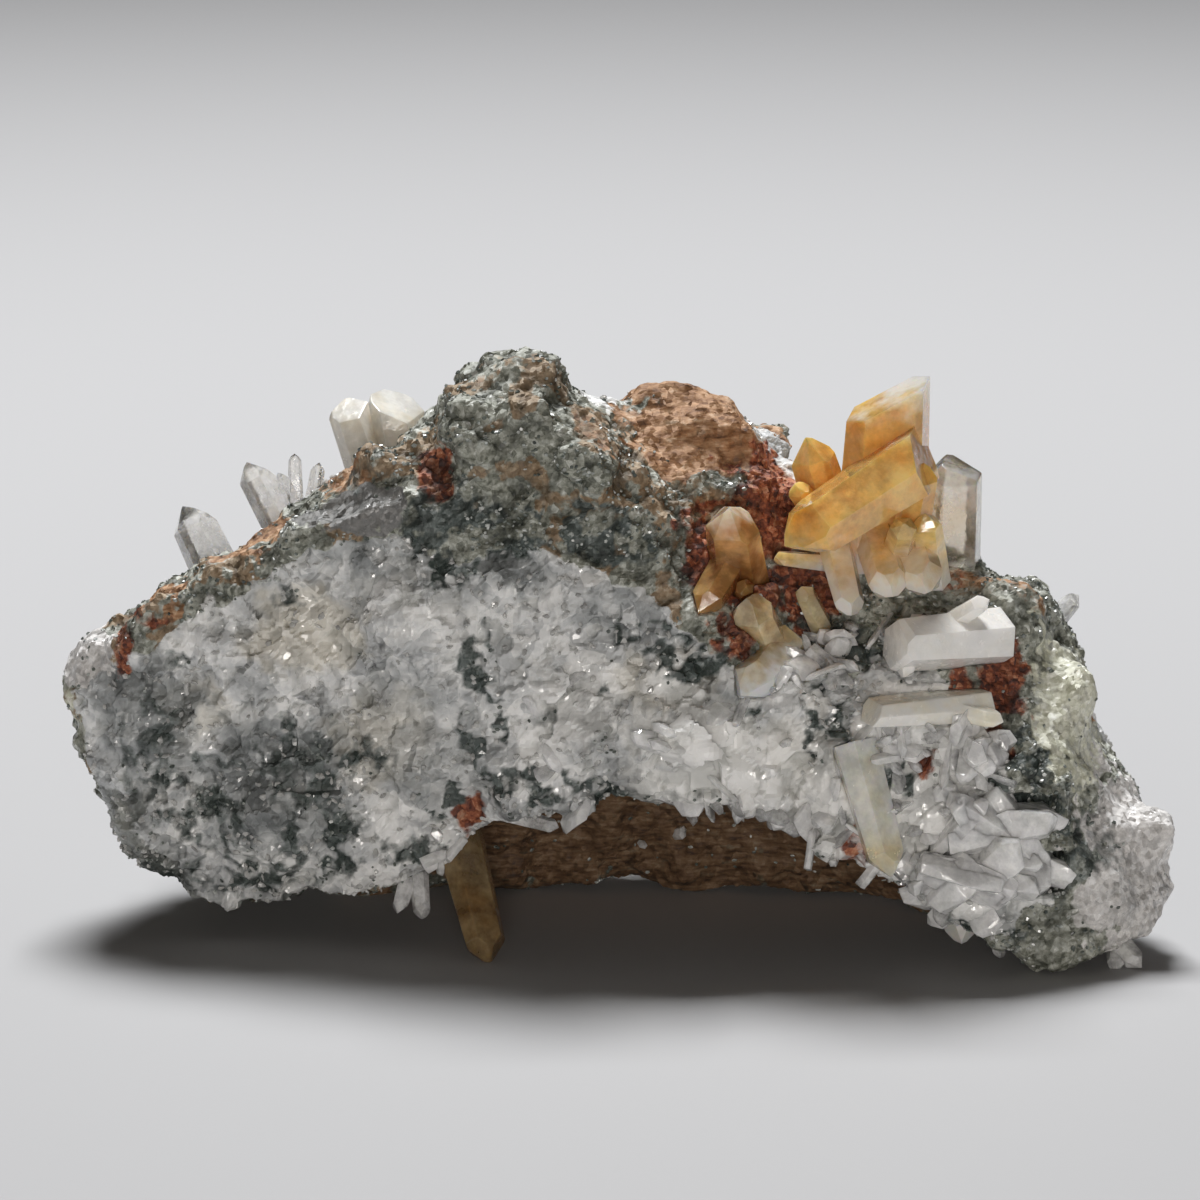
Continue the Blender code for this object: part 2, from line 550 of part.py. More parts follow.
def cut_sockets(rock):
    # Each crystal sits in a socket of the rock, a little wider than itself
    sockets = bpy.data.collections.new("sockets")
    bpy.context.scene.collection.children.link(sockets)
    for name, crystals in CRYSTALS.items():
        for number, crystal in enumerate(crystals):
            label = f"socket_{name}_{number}"
            helper = bpy.data.objects.new(label, quartz_mesh(label, crystal, SOCKET_GAP))
            sockets.objects.link(helper)
            hide_helper(helper)
    cut = rock.modifiers.new("sockets", "BOOLEAN")
    cut.operation = "DIFFERENCE"
    cut.solver = "EXACT"
    cut.operand_type = "COLLECTION"
    cut.collection = sockets
    mesh = applied_mesh(rock, "matrix_rock")
    rock.modifiers.clear()
    keep_largest(mesh)
    rock.data = mesh
    for helper in list(sockets.objects):
        bpy.data.objects.remove(helper, do_unlink=True)
    bpy.data.collections.remove(sockets)


def main():
    clear_scene()
    rock = make_rock()
    cut_sockets(rock)
    rock.data.materials.clear()
    rock.data.materials.append(finish("schist"))
    for name, crystals in CRYSTALS.items():
        obj = make_crystals(name, crystals)
        obj.data.materials.append(finish(KIND_OF_CRYSTAL.get(name, "clear")))
    for obj in bpy.data.objects:
        obj.location = millimetres(CENTRE_SHIFT)


main()
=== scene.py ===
import math
import random

import bmesh
import bpy
from mathutils import Matrix, Vector, noise
from mathutils.bvhtree import BVHTree


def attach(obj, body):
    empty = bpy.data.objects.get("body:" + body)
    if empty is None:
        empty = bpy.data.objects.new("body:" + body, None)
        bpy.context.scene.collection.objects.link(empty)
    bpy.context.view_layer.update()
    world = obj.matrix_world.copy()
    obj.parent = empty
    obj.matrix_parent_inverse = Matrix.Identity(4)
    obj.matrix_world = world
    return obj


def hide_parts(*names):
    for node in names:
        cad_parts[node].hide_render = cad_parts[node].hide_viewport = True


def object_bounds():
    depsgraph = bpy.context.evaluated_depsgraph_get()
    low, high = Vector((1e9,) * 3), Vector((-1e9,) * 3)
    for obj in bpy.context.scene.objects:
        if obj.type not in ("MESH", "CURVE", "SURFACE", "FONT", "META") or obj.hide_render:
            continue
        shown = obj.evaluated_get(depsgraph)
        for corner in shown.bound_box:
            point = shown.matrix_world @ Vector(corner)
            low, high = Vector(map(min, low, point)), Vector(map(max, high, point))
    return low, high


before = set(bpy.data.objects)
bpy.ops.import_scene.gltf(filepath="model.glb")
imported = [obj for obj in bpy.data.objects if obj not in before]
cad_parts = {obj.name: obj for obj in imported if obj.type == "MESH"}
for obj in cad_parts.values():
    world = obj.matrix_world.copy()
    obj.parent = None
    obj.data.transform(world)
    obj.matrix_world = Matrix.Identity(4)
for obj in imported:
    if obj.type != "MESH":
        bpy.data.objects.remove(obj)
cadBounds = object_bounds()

mm = 0.001
measuredOrigin = Vector((0.33, -18.86, 0.0))   # the measured places below, carried into the frame
lowest = cadBounds[0][2]                       # the surface that the specimen stands on


def inFrame(place):
    return (Vector(place) + measuredOrigin) * mm


def clamp(value, low=0.0, high=1.0):
    return max(low, min(high, value))


def smooth(low, high, value):
    t = clamp((value - low) / (high - low))
    return t * t * (3.0 - 2.0 * t)


def onLine(line, x):
    # value of a drawn line of (x, value) points
    if x <= line[0][0]:
        return line[0][1]
    for (xa, va), (xb, vb) in zip(line, line[1:]):
        if x <= xb:
            return va + (vb - va) * (x - xa) / (xb - xa)
    return line[-1][1]


def addPiece(name, mesh):
    piece = bpy.data.objects.new(name, mesh)
    bpy.context.scene.collection.objects.link(piece)
    return piece


def evaluatedCopy(obj, name):
    graph = bpy.context.evaluated_depsgraph_get()
    graph.update()
    mesh = bpy.data.meshes.new_from_object(obj.evaluated_get(graph))
    mesh.name = name
    return mesh


# Materials

def freshMaterial(name):
    material = bpy.data.materials.new(name)
    material.use_nodes = True
    tree = material.node_tree
    shader = tree.nodes["Principled BSDF"]
    return material, tree, shader


def addNode(tree, kind, **settings):
    node = tree.nodes.new(kind)
    for key, value in settings.items():
        setattr(node, key, value)
    return node


def objectNoise(tree, scale, detail=4.0, rough=0.55, offset=(0.0, 0.0, 0.0), layers=1.0, dip=0.0):
    # layers above 1 flattens the pattern into sheets, which dip about Y
    place = addNode(tree, "ShaderNodeTexCoord")
    shift = addNode(tree, "ShaderNodeMapping")
    shift.inputs["Location"].default_value = offset
    shift.inputs["Rotation"].default_value = (0.0, math.radians(dip), 0.0)
    shift.inputs["Scale"].default_value = (1.0, 1.0, layers)
    tree.links.new(place.outputs["Object"], shift.inputs["Vector"])
    spread = addNode(tree, "ShaderNodeTexNoise")
    spread.inputs["Scale"].default_value = scale
    spread.inputs["Detail"].default_value = detail
    spread.inputs["Roughness"].default_value = rough
    tree.links.new(shift.outputs["Vector"], spread.inputs["Vector"])
    return spread.outputs["Fac"]


def ramp(tree, source, stops):
    node = addNode(tree, "ShaderNodeValToRGB")
    band = node.color_ramp
    while len(band.elements) < len(stops):
        band.elements.new(0.5)
    for element, (place, colour) in zip(band.elements, stops):
        element.position = place
        element.color = (*colour, 1.0) if len(colour) == 3 else colour
    tree.links.new(source, node.inputs["Fac"])
    return node.outputs["Color"]


def grey(value):
    return (value, value, value)


def blendColours(tree, factor, first, second, mode="MIX"):
    node = addNode(tree, "ShaderNodeMix", data_type="RGBA", blend_type=mode)
    for socket, value in (("Factor", factor), ("A", first), ("B", second)):
        index = {"Factor": 0, "A": 6, "B": 7}[socket]
        if isinstance(value, bpy.types.NodeSocket):
            tree.links.new(value, node.inputs[index])
        elif socket == "Factor":
            node.inputs[index].default_value = value
        else:
            node.inputs[index].default_value = (*value, 1.0)
    return node.outputs[2]


def attribute(tree, name):
    node = addNode(tree, "ShaderNodeAttribute", attribute_name=name)
    return node.outputs["Fac"]


def grainCells(tree, scale, wobble):
    # colour of crystal grains, their outlines bent a little
    place = addNode(tree, "ShaderNodeTexCoord")
    bend = addNode(tree, "ShaderNodeTexNoise")
    bend.inputs["Scale"].default_value = scale * 0.9
    tree.links.new(place.outputs["Object"], bend.inputs["Vector"])
    about = addNode(tree, "ShaderNodeVectorMath", operation="SUBTRACT")
    about.inputs[1].default_value = (0.5, 0.5, 0.5)
    tree.links.new(bend.outputs["Color"], about.inputs[0])
    shift = addNode(tree, "ShaderNodeVectorMath", operation="SCALE")
    shift.inputs["Scale"].default_value = wobble * 2.0
    tree.links.new(about.outputs[0], shift.inputs[0])
    moved = addNode(tree, "ShaderNodeVectorMath", operation="ADD")
    tree.links.new(place.outputs["Object"], moved.inputs[0])
    tree.links.new(shift.outputs[0], moved.inputs[1])
    cells = addNode(tree, "ShaderNodeTexVoronoi")
    cells.inputs["Scale"].default_value = scale
    tree.links.new(moved.outputs[0], cells.inputs["Vector"])
    return cells.outputs["Color"]


def tiltedNormal(tree, layers, calm):
    # every grain faces its own way: layers of (grain colours, tilt), less so where it is calm
    surface = addNode(tree, "ShaderNodeNewGeometry")
    total = surface.outputs["Normal"]
    for colours, tilt in layers:
        centre = addNode(tree, "ShaderNodeVectorMath", operation="SUBTRACT")
        centre.inputs[1].default_value = (0.5, 0.5, 0.5)
        tree.links.new(colours, centre.inputs[0])
        amount = addNode(tree, "ShaderNodeVectorMath", operation="SCALE")
        tree.links.new(weighted(tree, (calm, -0.85 * tilt), start=tilt), amount.inputs["Scale"])
        tree.links.new(centre.outputs[0], amount.inputs[0])
        both = addNode(tree, "ShaderNodeVectorMath", operation="ADD")
        tree.links.new(total, both.inputs[0])
        tree.links.new(amount.outputs[0], both.inputs[1])
        total = both.outputs[0]
    unit = addNode(tree, "ShaderNodeVectorMath", operation="NORMALIZE")
    tree.links.new(total, unit.inputs[0])
    return unit.outputs[0]


def oneOf(tree, colours, channel):
    parts = addNode(tree, "ShaderNodeSeparateColor")
    tree.links.new(colours, parts.inputs[0])
    return parts.outputs[channel]


def weighted(tree, *parts, start=0.0):
    # sum of (socket, weight) pairs
    total = None
    for socket, weight in parts:
        node = addNode(tree, "ShaderNodeMath", operation="MULTIPLY_ADD")
        tree.links.new(socket, node.inputs[0])
        node.inputs[1].default_value = weight
        if total is None:
            node.inputs[2].default_value = start
        else:
            tree.links.new(total, node.inputs[2])
        total = node.outputs[0]
    return total


def ragged(tree, mask, fuzz, least=0.93, most=1.12):
    # a mask with a torn edge
    torn = weighted(tree, (mask, 1.0), (fuzz, 1.1))
    edge = addNode(tree, "ShaderNodeMapRange")
    edge.inputs["From Min"].default_value = least
    edge.inputs["From Max"].default_value = most
    tree.links.new(torn, edge.inputs["Value"])
    return edge.outputs["Result"]


rockFinish = {     # (place along the grain's ramp, colour)
    "vein": [(0.34, (0.38, 0.39, 0.39)), (0.46, (0.60, 0.61, 0.61)), (0.56, (0.83, 0.83, 0.815)),
             (0.70, (0.95, 0.945, 0.925))],
    "veinYellow": [(0.30, (0.50, 0.44, 0.32)), (0.60, (0.76, 0.70, 0.56))],
    "smoky": [(0.36, (0.11, 0.12, 0.118)), (0.48, (0.27, 0.285, 0.285)), (0.58, (0.46, 0.475, 0.475)),
              (0.68, (0.74, 0.745, 0.74))],
    "ice": [(0.36, (0.56, 0.56, 0.54)), (0.48, (0.86, 0.855, 0.83)), (0.66, (0.95, 0.945, 0.93))],
    "chlorite": [(0.30, (0.016, 0.023, 0.020)), (0.48, (0.064, 0.080, 0.073)), (0.62, (0.17, 0.195, 0.185)),
                 (0.76, (0.38, 0.41, 0.40))],
    "schist": [(0.30, (0.036, 0.040, 0.030)), (0.42, (0.155, 0.162, 0.128)), (0.52, (0.335, 0.342, 0.29)),
               (0.64, (0.55, 0.562, 0.51)), (0.76, (0.80, 0.81, 0.77))],
    "tan": [(0.26, (0.055, 0.034, 0.018)), (0.48, (0.26, 0.18, 0.105)), (0.74, (0.52, 0.42, 0.30))],
    "rust": [(0.36, (0.10, 0.043, 0.018)), (0.46, (0.29, 0.145, 0.065)), (0.55, (0.46, 0.265, 0.14)),
             (0.68, (0.68, 0.51, 0.36))],
    "brick": [(0.38, (0.050, 0.013, 0.007)), (0.48, (0.20, 0.050, 0.022)), (0.56, (0.38, 0.125, 0.055)),
              (0.66, (0.62, 0.33, 0.20))],
    "olive": [(0.34, (0.42, 0.42, 0.31)), (0.50, (0.68, 0.68, 0.56)), (0.68, (0.88, 0.88, 0.80))],
    "lens": [(0.30, (0.10, 0.102, 0.098)), (0.50, (0.19, 0.188, 0.18)), (0.72, (0.33, 0.32, 0.305))],
    "pinkGrey": [(0.36, (0.44, 0.425, 0.41)), (0.48, (0.66, 0.64, 0.62)), (0.58, (0.80, 0.78, 0.76)),
                 (0.70, (0.92, 0.905, 0.89))],
}
stoneKinds = (
    "vein", "smoky", "ice", "chlorite", "tan", "rust", "brick", "olive", "pinkGrey", "lens", "yellow",
)
stoneNoise = {     # scale, detail, roughness, offset, and for the rusty sheets their flatness and dip
    "fine": (1300.0, 5.0, 0.65),
    "cloud": (150.0, 5.0, 0.60, (0.3, 0.1, 0.7)),
    "fringe": (520.0, 6.0, 0.72, (0.6, 0.4, 0.2)),
    "veil": (240.0, 5.0, 0.68, (0.2, 0.8, 0.5)),
    "sheets": (380.0, 5.0, 0.62, (0.4, 0.9, 0.3), 4.5, -32.0),
}
stoneLooks = {     # grains per metre, how far they tilt, their roughness, fine grit, light let in
    "schist": {"grains": (620.0, 1400.0), "facets": (0.25, 0.85), "shine": (0.26, 0.68),
               "grit": 0.35, "glow": 0.0},
    "vein": {"grains": (360.0, 950.0), "facets": (0.60, 0.40), "shine": (0.08, 0.40),
             "grit": 0.14, "glow": 0.5},
}
stoneShared = {
    "wobble": (0.6 * mm, 0.2 * mm),      # how far the outlines of large and small grains wander
    "gritDepth": 0.2 * mm,
    "glowDepth": 1.2 * mm,
    "specular": 0.6,
    "rustRoughness": 0.75,
    "recess": (0.34, 0.35, 0.33),        # what is left of the colour under the deepest painted shade, in crevices and on the wall behind the arch
    "softFringe": (0.86, 1.22),          # where the torn edge of chlorite and brick red starts and ends
}


def stoneMaterial(name, look):
    # one coat for the whole rock; the vein lets light in deeper and has larger, glassier grains
    material, tree, shader = freshMaterial(name)
    shared = stoneShared
    clouds = {kind: objectNoise(tree, *values) for kind, values in stoneNoise.items()}
    fine, cloud = clouds["fine"], clouds["cloud"]
    large, small = [grainCells(tree, *pair) for pair in zip(look["grains"], shared["wobble"])]
    smallRed, smallGreen, smallBlue = [oneOf(tree, small, channel) for channel in range(3)]
    soft = weighted(tree, (cloud, 0.70), (fine, 0.12), (oneOf(tree, large, 0), 0.13), (smallRed, 0.05))
    rough = weighted(tree, (cloud, 0.25), (fine, 0.55), (smallGreen, 0.20))
    fuzz = weighted(tree, (clouds["fringe"], 0.8), (smallBlue, 0.2))
    veil = weighted(tree, (clouds["veil"], 0.6), (fuzz, 0.4))
    sheets = weighted(tree, (clouds["sheets"], 0.65), (rough, 0.35))

    def mask(kind, *edge):
        return ragged(tree, attribute(tree, kind + "Mask"), *edge)

    colour = ramp(tree, rough, rockFinish["schist"])
    for kind in ("tan", "olive", "pinkGrey", "rust", "lens"):
        grain = sheets if kind == "rust" else rough
        colour = blendColours(tree, mask(kind, fuzz), colour, ramp(tree, grain, rockFinish[kind]))
    quartz = ramp(tree, soft, rockFinish["vein"])
    for kind, finish in (("yellow", "veinYellow"), ("smoky", "smoky"), ("ice", "ice")):
        stained = ramp(tree, soft, rockFinish[finish])
        quartz = blendColours(tree, attribute(tree, kind + "Mask"), quartz, stained)
    colour = blendColours(tree, mask("vein", fuzz), colour, quartz)
    for kind, fringe in (("brick", fuzz), ("chlorite", veil)):
        edge = mask(kind, fringe, *shared["softFringe"])
        colour = blendColours(tree, edge, colour, ramp(tree, rough, rockFinish[kind]))
    # painted shade: the colour is multiplied darker in crevices, in low vein grains and on the wall behind
    # the arch
    recess = ramp(tree, attribute(tree, "recessMask"), [(0.0, grey(1.0)), (1.0, shared["recess"])])
    colour = blendColours(tree, 1.0, colour, recess, "MULTIPLY")
    tree.links.new(colour, shader.inputs["Base Color"])
    glassy, dull = look["shine"]
    gloss = ramp(tree, smallBlue, [(0.15, grey(glassy)), (0.75, grey(dull))])
    for kind in ("rust", "brick", "tan"):
        gloss = blendColours(tree, attribute(tree, kind + "Mask"), gloss, grey(shared["rustRoughness"]))
    tree.links.new(gloss, shader.inputs["Roughness"])
    grit = addNode(tree, "ShaderNodeBump")
    grit.inputs["Strength"].default_value = look["grit"]
    grit.inputs["Distance"].default_value = shared["gritDepth"]
    tree.links.new(fine, grit.inputs["Height"])
    facets = list(zip((large, small), look["facets"]))
    tree.links.new(tiltedNormal(tree, facets, attribute(tree, "iceMask")), grit.inputs["Normal"])
    tree.links.new(grit.outputs["Normal"], shader.inputs["Normal"])
    shader.inputs["Specular IOR Level"].default_value = shared["specular"]
    shader.inputs["Subsurface Weight"].default_value = look["glow"]
    shader.inputs["Subsurface Radius"].default_value = (shared["glowDepth"],) * 3
    shader.inputs["Subsurface Scale"].default_value = 1.0
    return material


def flakeMaterial():
    material, tree, shader = freshMaterial("chloriteFlakes")
    tone = ramp(tree, objectNoise(tree, 700.0, 2.0, 0.5),
                [(0.32, (0.035, 0.046, 0.040)), (0.5, (0.14, 0.16, 0.14)), (0.66, (0.60, 0.62, 0.595))])
    tree.links.new(tone, shader.inputs["Base Color"])
    rough = ramp(tree, objectNoise(tree, 1100.0, 2.0, 0.5, (0.4, 0.8, 0.1)),
                 [(0.35, grey(0.16)), (0.65, grey(0.5))])
    tree.links.new(rough, shader.inputs["Roughness"])
    shader.inputs["Specular IOR Level"].default_value = 0.9
    return material


def grainMaterial():
    material, tree, shader = freshMaterial("quartzGrains")
    tone = ramp(tree, objectNoise(tree, 420.0, 3.0, 0.5),
                [(0.3, (0.42, 0.42, 0.41)), (0.5, (0.66, 0.66, 0.64)), (0.7, (0.86, 0.85, 0.82))])
    tree.links.new(tone, shader.inputs["Base Color"])
    rough = ramp(tree, objectNoise(tree, 900.0, 2.0, 0.5), [(0.35, grey(0.08)), (0.65, grey(0.35))])
    tree.links.new(rough, shader.inputs["Roughness"])
    shader.inputs["IOR"].default_value = 1.544
    shader.inputs["Transmission Weight"].default_value = 0.35     # partly clear
    return material


quartzFinish = {     # depths in mm; fades are heights in the frame, in metres
    "orange": {
        "body": (1.0, 0.67, 0.25), "stain": (1.0, 0.49, 0.1), "pale": (1.0, 0.91, 0.8),
        "absorb": (1.0, 0.66, 0.27), "density": 32.0,
        "cloudScale": 110.0, "clear": (0.1, 0.6), "rough": 0.05, "gloss": 1.0, "grains": 0.16,
        "fades": ((0.0500, 0.0440), (0.0630, 0.0665)),
    },
    "amber": {
        "body": (0.85, 0.5, 0.2), "stain": (0.6, 0.25, 0.07), "pale": (0.86, 0.75, 0.6),
        "absorb": (0.92, 0.58, 0.26), "density": 80.0,
        "cloudScale": 130.0, "clear": (0.3, 0.7), "rough": 0.08, "gloss": 0.8, "grains": 0.14,
        "fades": ((0.0510, 0.0540),),
    },
    # partly its own yellow-brown colour, partly painted shade: darker than the honey quartz because it
    # hangs in the shadow under the arch
    "hanging": {
        "body": (0.52, 0.38, 0.2), "stain": (0.34, 0.2, 0.08),
        "absorb": (0.86, 0.66, 0.36), "density": 90.0,
        "cloudScale": 130.0, "clear": (0.4, 0.8), "rough": 0.08,
    },
    "honey": {
        "body": (0.92, 0.76, 0.5), "stain": (0.78, 0.53, 0.25), "pale": (0.97, 0.95, 0.9),
        "absorb": (0.95, 0.78, 0.48), "density": 45.0,
        "cloudScale": 140.0, "clear": (0.2, 0.6), "rough": 0.08, "gloss": 0.6, "grains": 0.14,
        "fades": ((0.0375, 0.0340),),
    },
    "yellow": {
        "body": (0.98, 0.94, 0.84), "stain": (0.92, 0.77, 0.52),
        "absorb": (0.97, 0.88, 0.66), "density": 28.0,
        "cloudScale": 120.0, "clear": (0.08, 0.4), "rough": 0.12, "gloss": 0.4, "grains": 0.16,
    },
    "white": {
        "body": (1.0, 0.99, 0.965), "stain": (0.8, 0.81, 0.79),
        "absorb": (0.985, 0.98, 0.965), "density": 10.0, "depth": (1.3, 1.3, 1.2),
        "cloudScale": 300.0, "clear": (0.0, 0.26), "rough": 0.09, "gloss": 0.7, "grains": 0.42,
    },
    "block": {
        "body": (1.0, 0.975, 0.92), "stain": (0.96, 0.915, 0.85),
        "absorb": (0.985, 0.97, 0.94), "density": 12.0, "depth": (1.3, 1.2, 1.1),
        "cloudScale": 150.0, "clear": (0.0, 0.08), "rough": 0.14, "gloss": 0.4, "grains": 0.16,
    },
    "peach": {
        "body": (1.0, 0.965, 0.89), "stain": (1.0, 0.87, 0.69),
        "absorb": (0.98, 0.9, 0.78), "density": 30.0, "depth": (1.2, 1.1, 1.0),
        "cloudScale": 110.0, "clear": (0.0, 0.08), "rough": 0.15, "grains": 0.22,
    },
    "cream": {
        "body": (0.96, 0.93, 0.87), "stain": (0.92, 0.8, 0.62),
        "absorb": (0.97, 0.93, 0.82), "density": 40.0, "depth": (1.2, 1.1, 1.0),
        "cloudScale": 90.0, "clear": (0.1, 0.45), "rough": 0.12,
    },
    "clear": {
        "body": (1.0, 1.0, 0.985), "stain": (0.86, 0.86, 0.84),
        "absorb": (0.97, 0.975, 0.965), "density": 20.0, "depth": (1.4, 1.4, 1.3),
        "cloudScale": 210.0, "clear": (0.2, 0.75), "rough": 0.05, "gloss": 0.6, "grains": 0.12,
    },
    "smoky": {
        "body": (1.0, 0.99, 0.965), "stain": (0.92, 0.9, 0.85),
        "absorb": (0.94, 0.93, 0.9), "density": 25.0, "depth": (1.4, 1.3, 1.1),
        "cloudScale": 190.0, "clear": (0.55, 0.95), "rough": 0.03, "gloss": 0.7, "grains": 0.12,
    },
    "rustyClear": {
        "body": (0.96, 0.94, 0.9), "stain": (0.86, 0.74, 0.58),
        "absorb": (0.94, 0.88, 0.76), "density": 50.0,
        "cloudScale": 130.0, "clear": (0.6, 0.97), "rough": 0.035, "gloss": 0.7, "grains": 0.12,
    },
}


quartzShared = {
    "ior": 1.544,
    "gloss": 0.15,                # of the coat, where a kind gives none of its own
    "depth": (3.0, 2.2, 1.2),     # mm that red, green and blue light goes in, by default
    "milky": 0.6,
    "frosted": 0.18,              # how clear a faded end stays
    "wander": 12.0 * mm,          # how uneven the line is where it fades
    "ripple": (0.35, 0.4 * mm),   # strength and height of the uneven faces
    "breaks": ((430.0, 0.6 * mm), (1200.0, 0.3 * mm)),      # small breaks: per metre, and their wobble
}


def fadeMask(tree, start, end):
    # 1 past the end height, 0 before the start, along a wandering line
    place = addNode(tree, "ShaderNodeTexCoord")
    split = addNode(tree, "ShaderNodeSeparateXYZ")
    tree.links.new(place.outputs["Object"], split.inputs[0])
    wander = quartzShared["wander"]
    wave = objectNoise(tree, 260.0, 3.0, 0.6, (0.8, 0.3, 0.1))
    height = weighted(tree, (wave, wander), (split.outputs["Z"], 1.0), start=-0.5 * wander)
    frosted = addNode(tree, "ShaderNodeMapRange")
    frosted.inputs["From Min"].default_value = start
    frosted.inputs["From Max"].default_value = end
    tree.links.new(height, frosted.inputs["Value"])
    return frosted.outputs["Result"]


def quartzMaterial(kind):
    look, shared = quartzFinish[kind], quartzShared
    material, tree, shader = freshMaterial(kind + "Quartz")
    cloud = objectNoise(tree, look["cloudScale"], 4.0, 0.6)
    colour = ramp(tree, cloud, [(0.36, look["stain"]), (0.56, look["body"])])
    veil = objectNoise(tree, look["cloudScale"] * 1.6, 5.0, 0.65, (0.5, 0.2, 0.9))
    least, most = look["clear"]
    clearness = ramp(tree, veil, [(0.38, grey(least)), (0.6, grey(most))])
    for start, end in look.get("fades", ()):
        frosted = fadeMask(tree, start, end)
        colour = blendColours(tree, frosted, colour, look["pale"])
        clearness = blendColours(tree, frosted, clearness, grey(shared["frosted"]))
    tree.links.new(colour, shader.inputs["Base Color"])
    tree.links.new(clearness, shader.inputs["Transmission Weight"])
    rough = ramp(tree, objectNoise(tree, 600.0, 3.0, 0.6, (0.1, 0.6, 0.3)),
                 [(0.4, grey(look["rough"] * 0.5)), (0.7, grey(look["rough"] * 2.4))])
    tree.links.new(rough, shader.inputs["Roughness"])
    shader.inputs["IOR"].default_value = shared["ior"]
    shader.inputs["Coat Weight"].default_value = look.get("gloss", shared["gloss"])
    shader.inputs["Coat Roughness"].default_value = 0.04
    shader.inputs["Subsurface Weight"].default_value = shared["milky"]
    depths = look.get("depth", shared["depth"])
    shader.inputs["Subsurface Radius"].default_value = [depth * mm for depth in depths]
    shader.inputs["Subsurface Scale"].default_value = 1.0
    bump = addNode(tree, "ShaderNodeBump")
    bump.inputs["Strength"].default_value, bump.inputs["Distance"].default_value = shared["ripple"]
    tree.links.new(objectNoise(tree, 420.0, 5.0, 0.62, (0.7, 0.3, 0.2)), bump.inputs["Height"])
    if "grains" in look:
        breaks = [(grainCells(tree, *size), look["grains"]) for size in shared["breaks"]]
        tree.links.new(tiltedNormal(tree, breaks, veil), bump.inputs["Normal"])
    tree.links.new(bump.outputs["Normal"], shader.inputs["Normal"])
    absorb = addNode(tree, "ShaderNodeVolumeAbsorption")
    absorb.inputs["Color"].default_value = (*look["absorb"], 1.0)
    absorb.inputs["Density"].default_value = look["density"]
    tree.links.new(absorb.outputs["Volume"], tree.nodes["Material Output"].inputs["Volume"])
    return material


quartzMaterials = {}     # one for each kind, shared by its pieces


def quartzOf(kind):
    if kind not in quartzMaterials:
        quartzMaterials[kind] = quartzMaterial(kind)
    return quartzMaterials[kind]


# Rock: the CAD solid, melted to a fine grid and broken up grain by grain

rock = {                          # in mm
    "voxel": 0.42,
    "smoothing": 5,               # passes
    "veinGrain": (3.3, 1.4),      # sizes of the two generations of quartz grains
    "massiveGrain": (5.2, 2.6),   # and where the vein is milky and massive
    "nodules": (3.3, 1.5, 0.8),   # of the schist, large to small
    "veinRelief": 1.0,
    "schistRelief": 0.85,
    "crystalReach": (0.5, 1.2),   # within this of a crystal, the rock closes in on it
    "contact": 0.34,              # and stands out by this
    "feet": 1.2,                  # below this, the surface isn't lowered
    "rim": 5.5,                   # the back's lower rim reaches down from here
    "frontDepth": 6.0,            # and lies further back than this
    "shadeFrom": (8.0, 18.0),     # painted shade on the wall behind the arch: this far back, and below this height
    "shade": 0.95,
}

# outline of the white vein on the front, as (x, z) in mm
veinOutline = [
    (-64, 29), (-59.5, 33.5), (-47.7, 40.8), (-33.7, 48.6), (-25, 50), (-19, 47), (-12, 48.5), (-7, 47.5),
    (-2, 45.5), (2, 44.5), (7, 40.5), (12, 36), (16, 33), (23, 34), (31, 36), (38, 34), (42, 29), (45, 23),
    (48.5, 17), (49.5, 9), (44, 4.5), (36, 6), (29, 9), (22, 14), (12, 16), (2, 18), (-8, 16), (-20, 10),
    (-33, 5), (-49, 2), (-59, 8), (-62, 18),
]
# how far back the front face lies, as (x, y) in mm
veinFrontLimit = [
    (-66, 17), (-48, 12), (-34, 10), (-23, 8), (-7, 6), (2, 5), (14, 3), (26, 2), (48, -1), (63, 4),
]

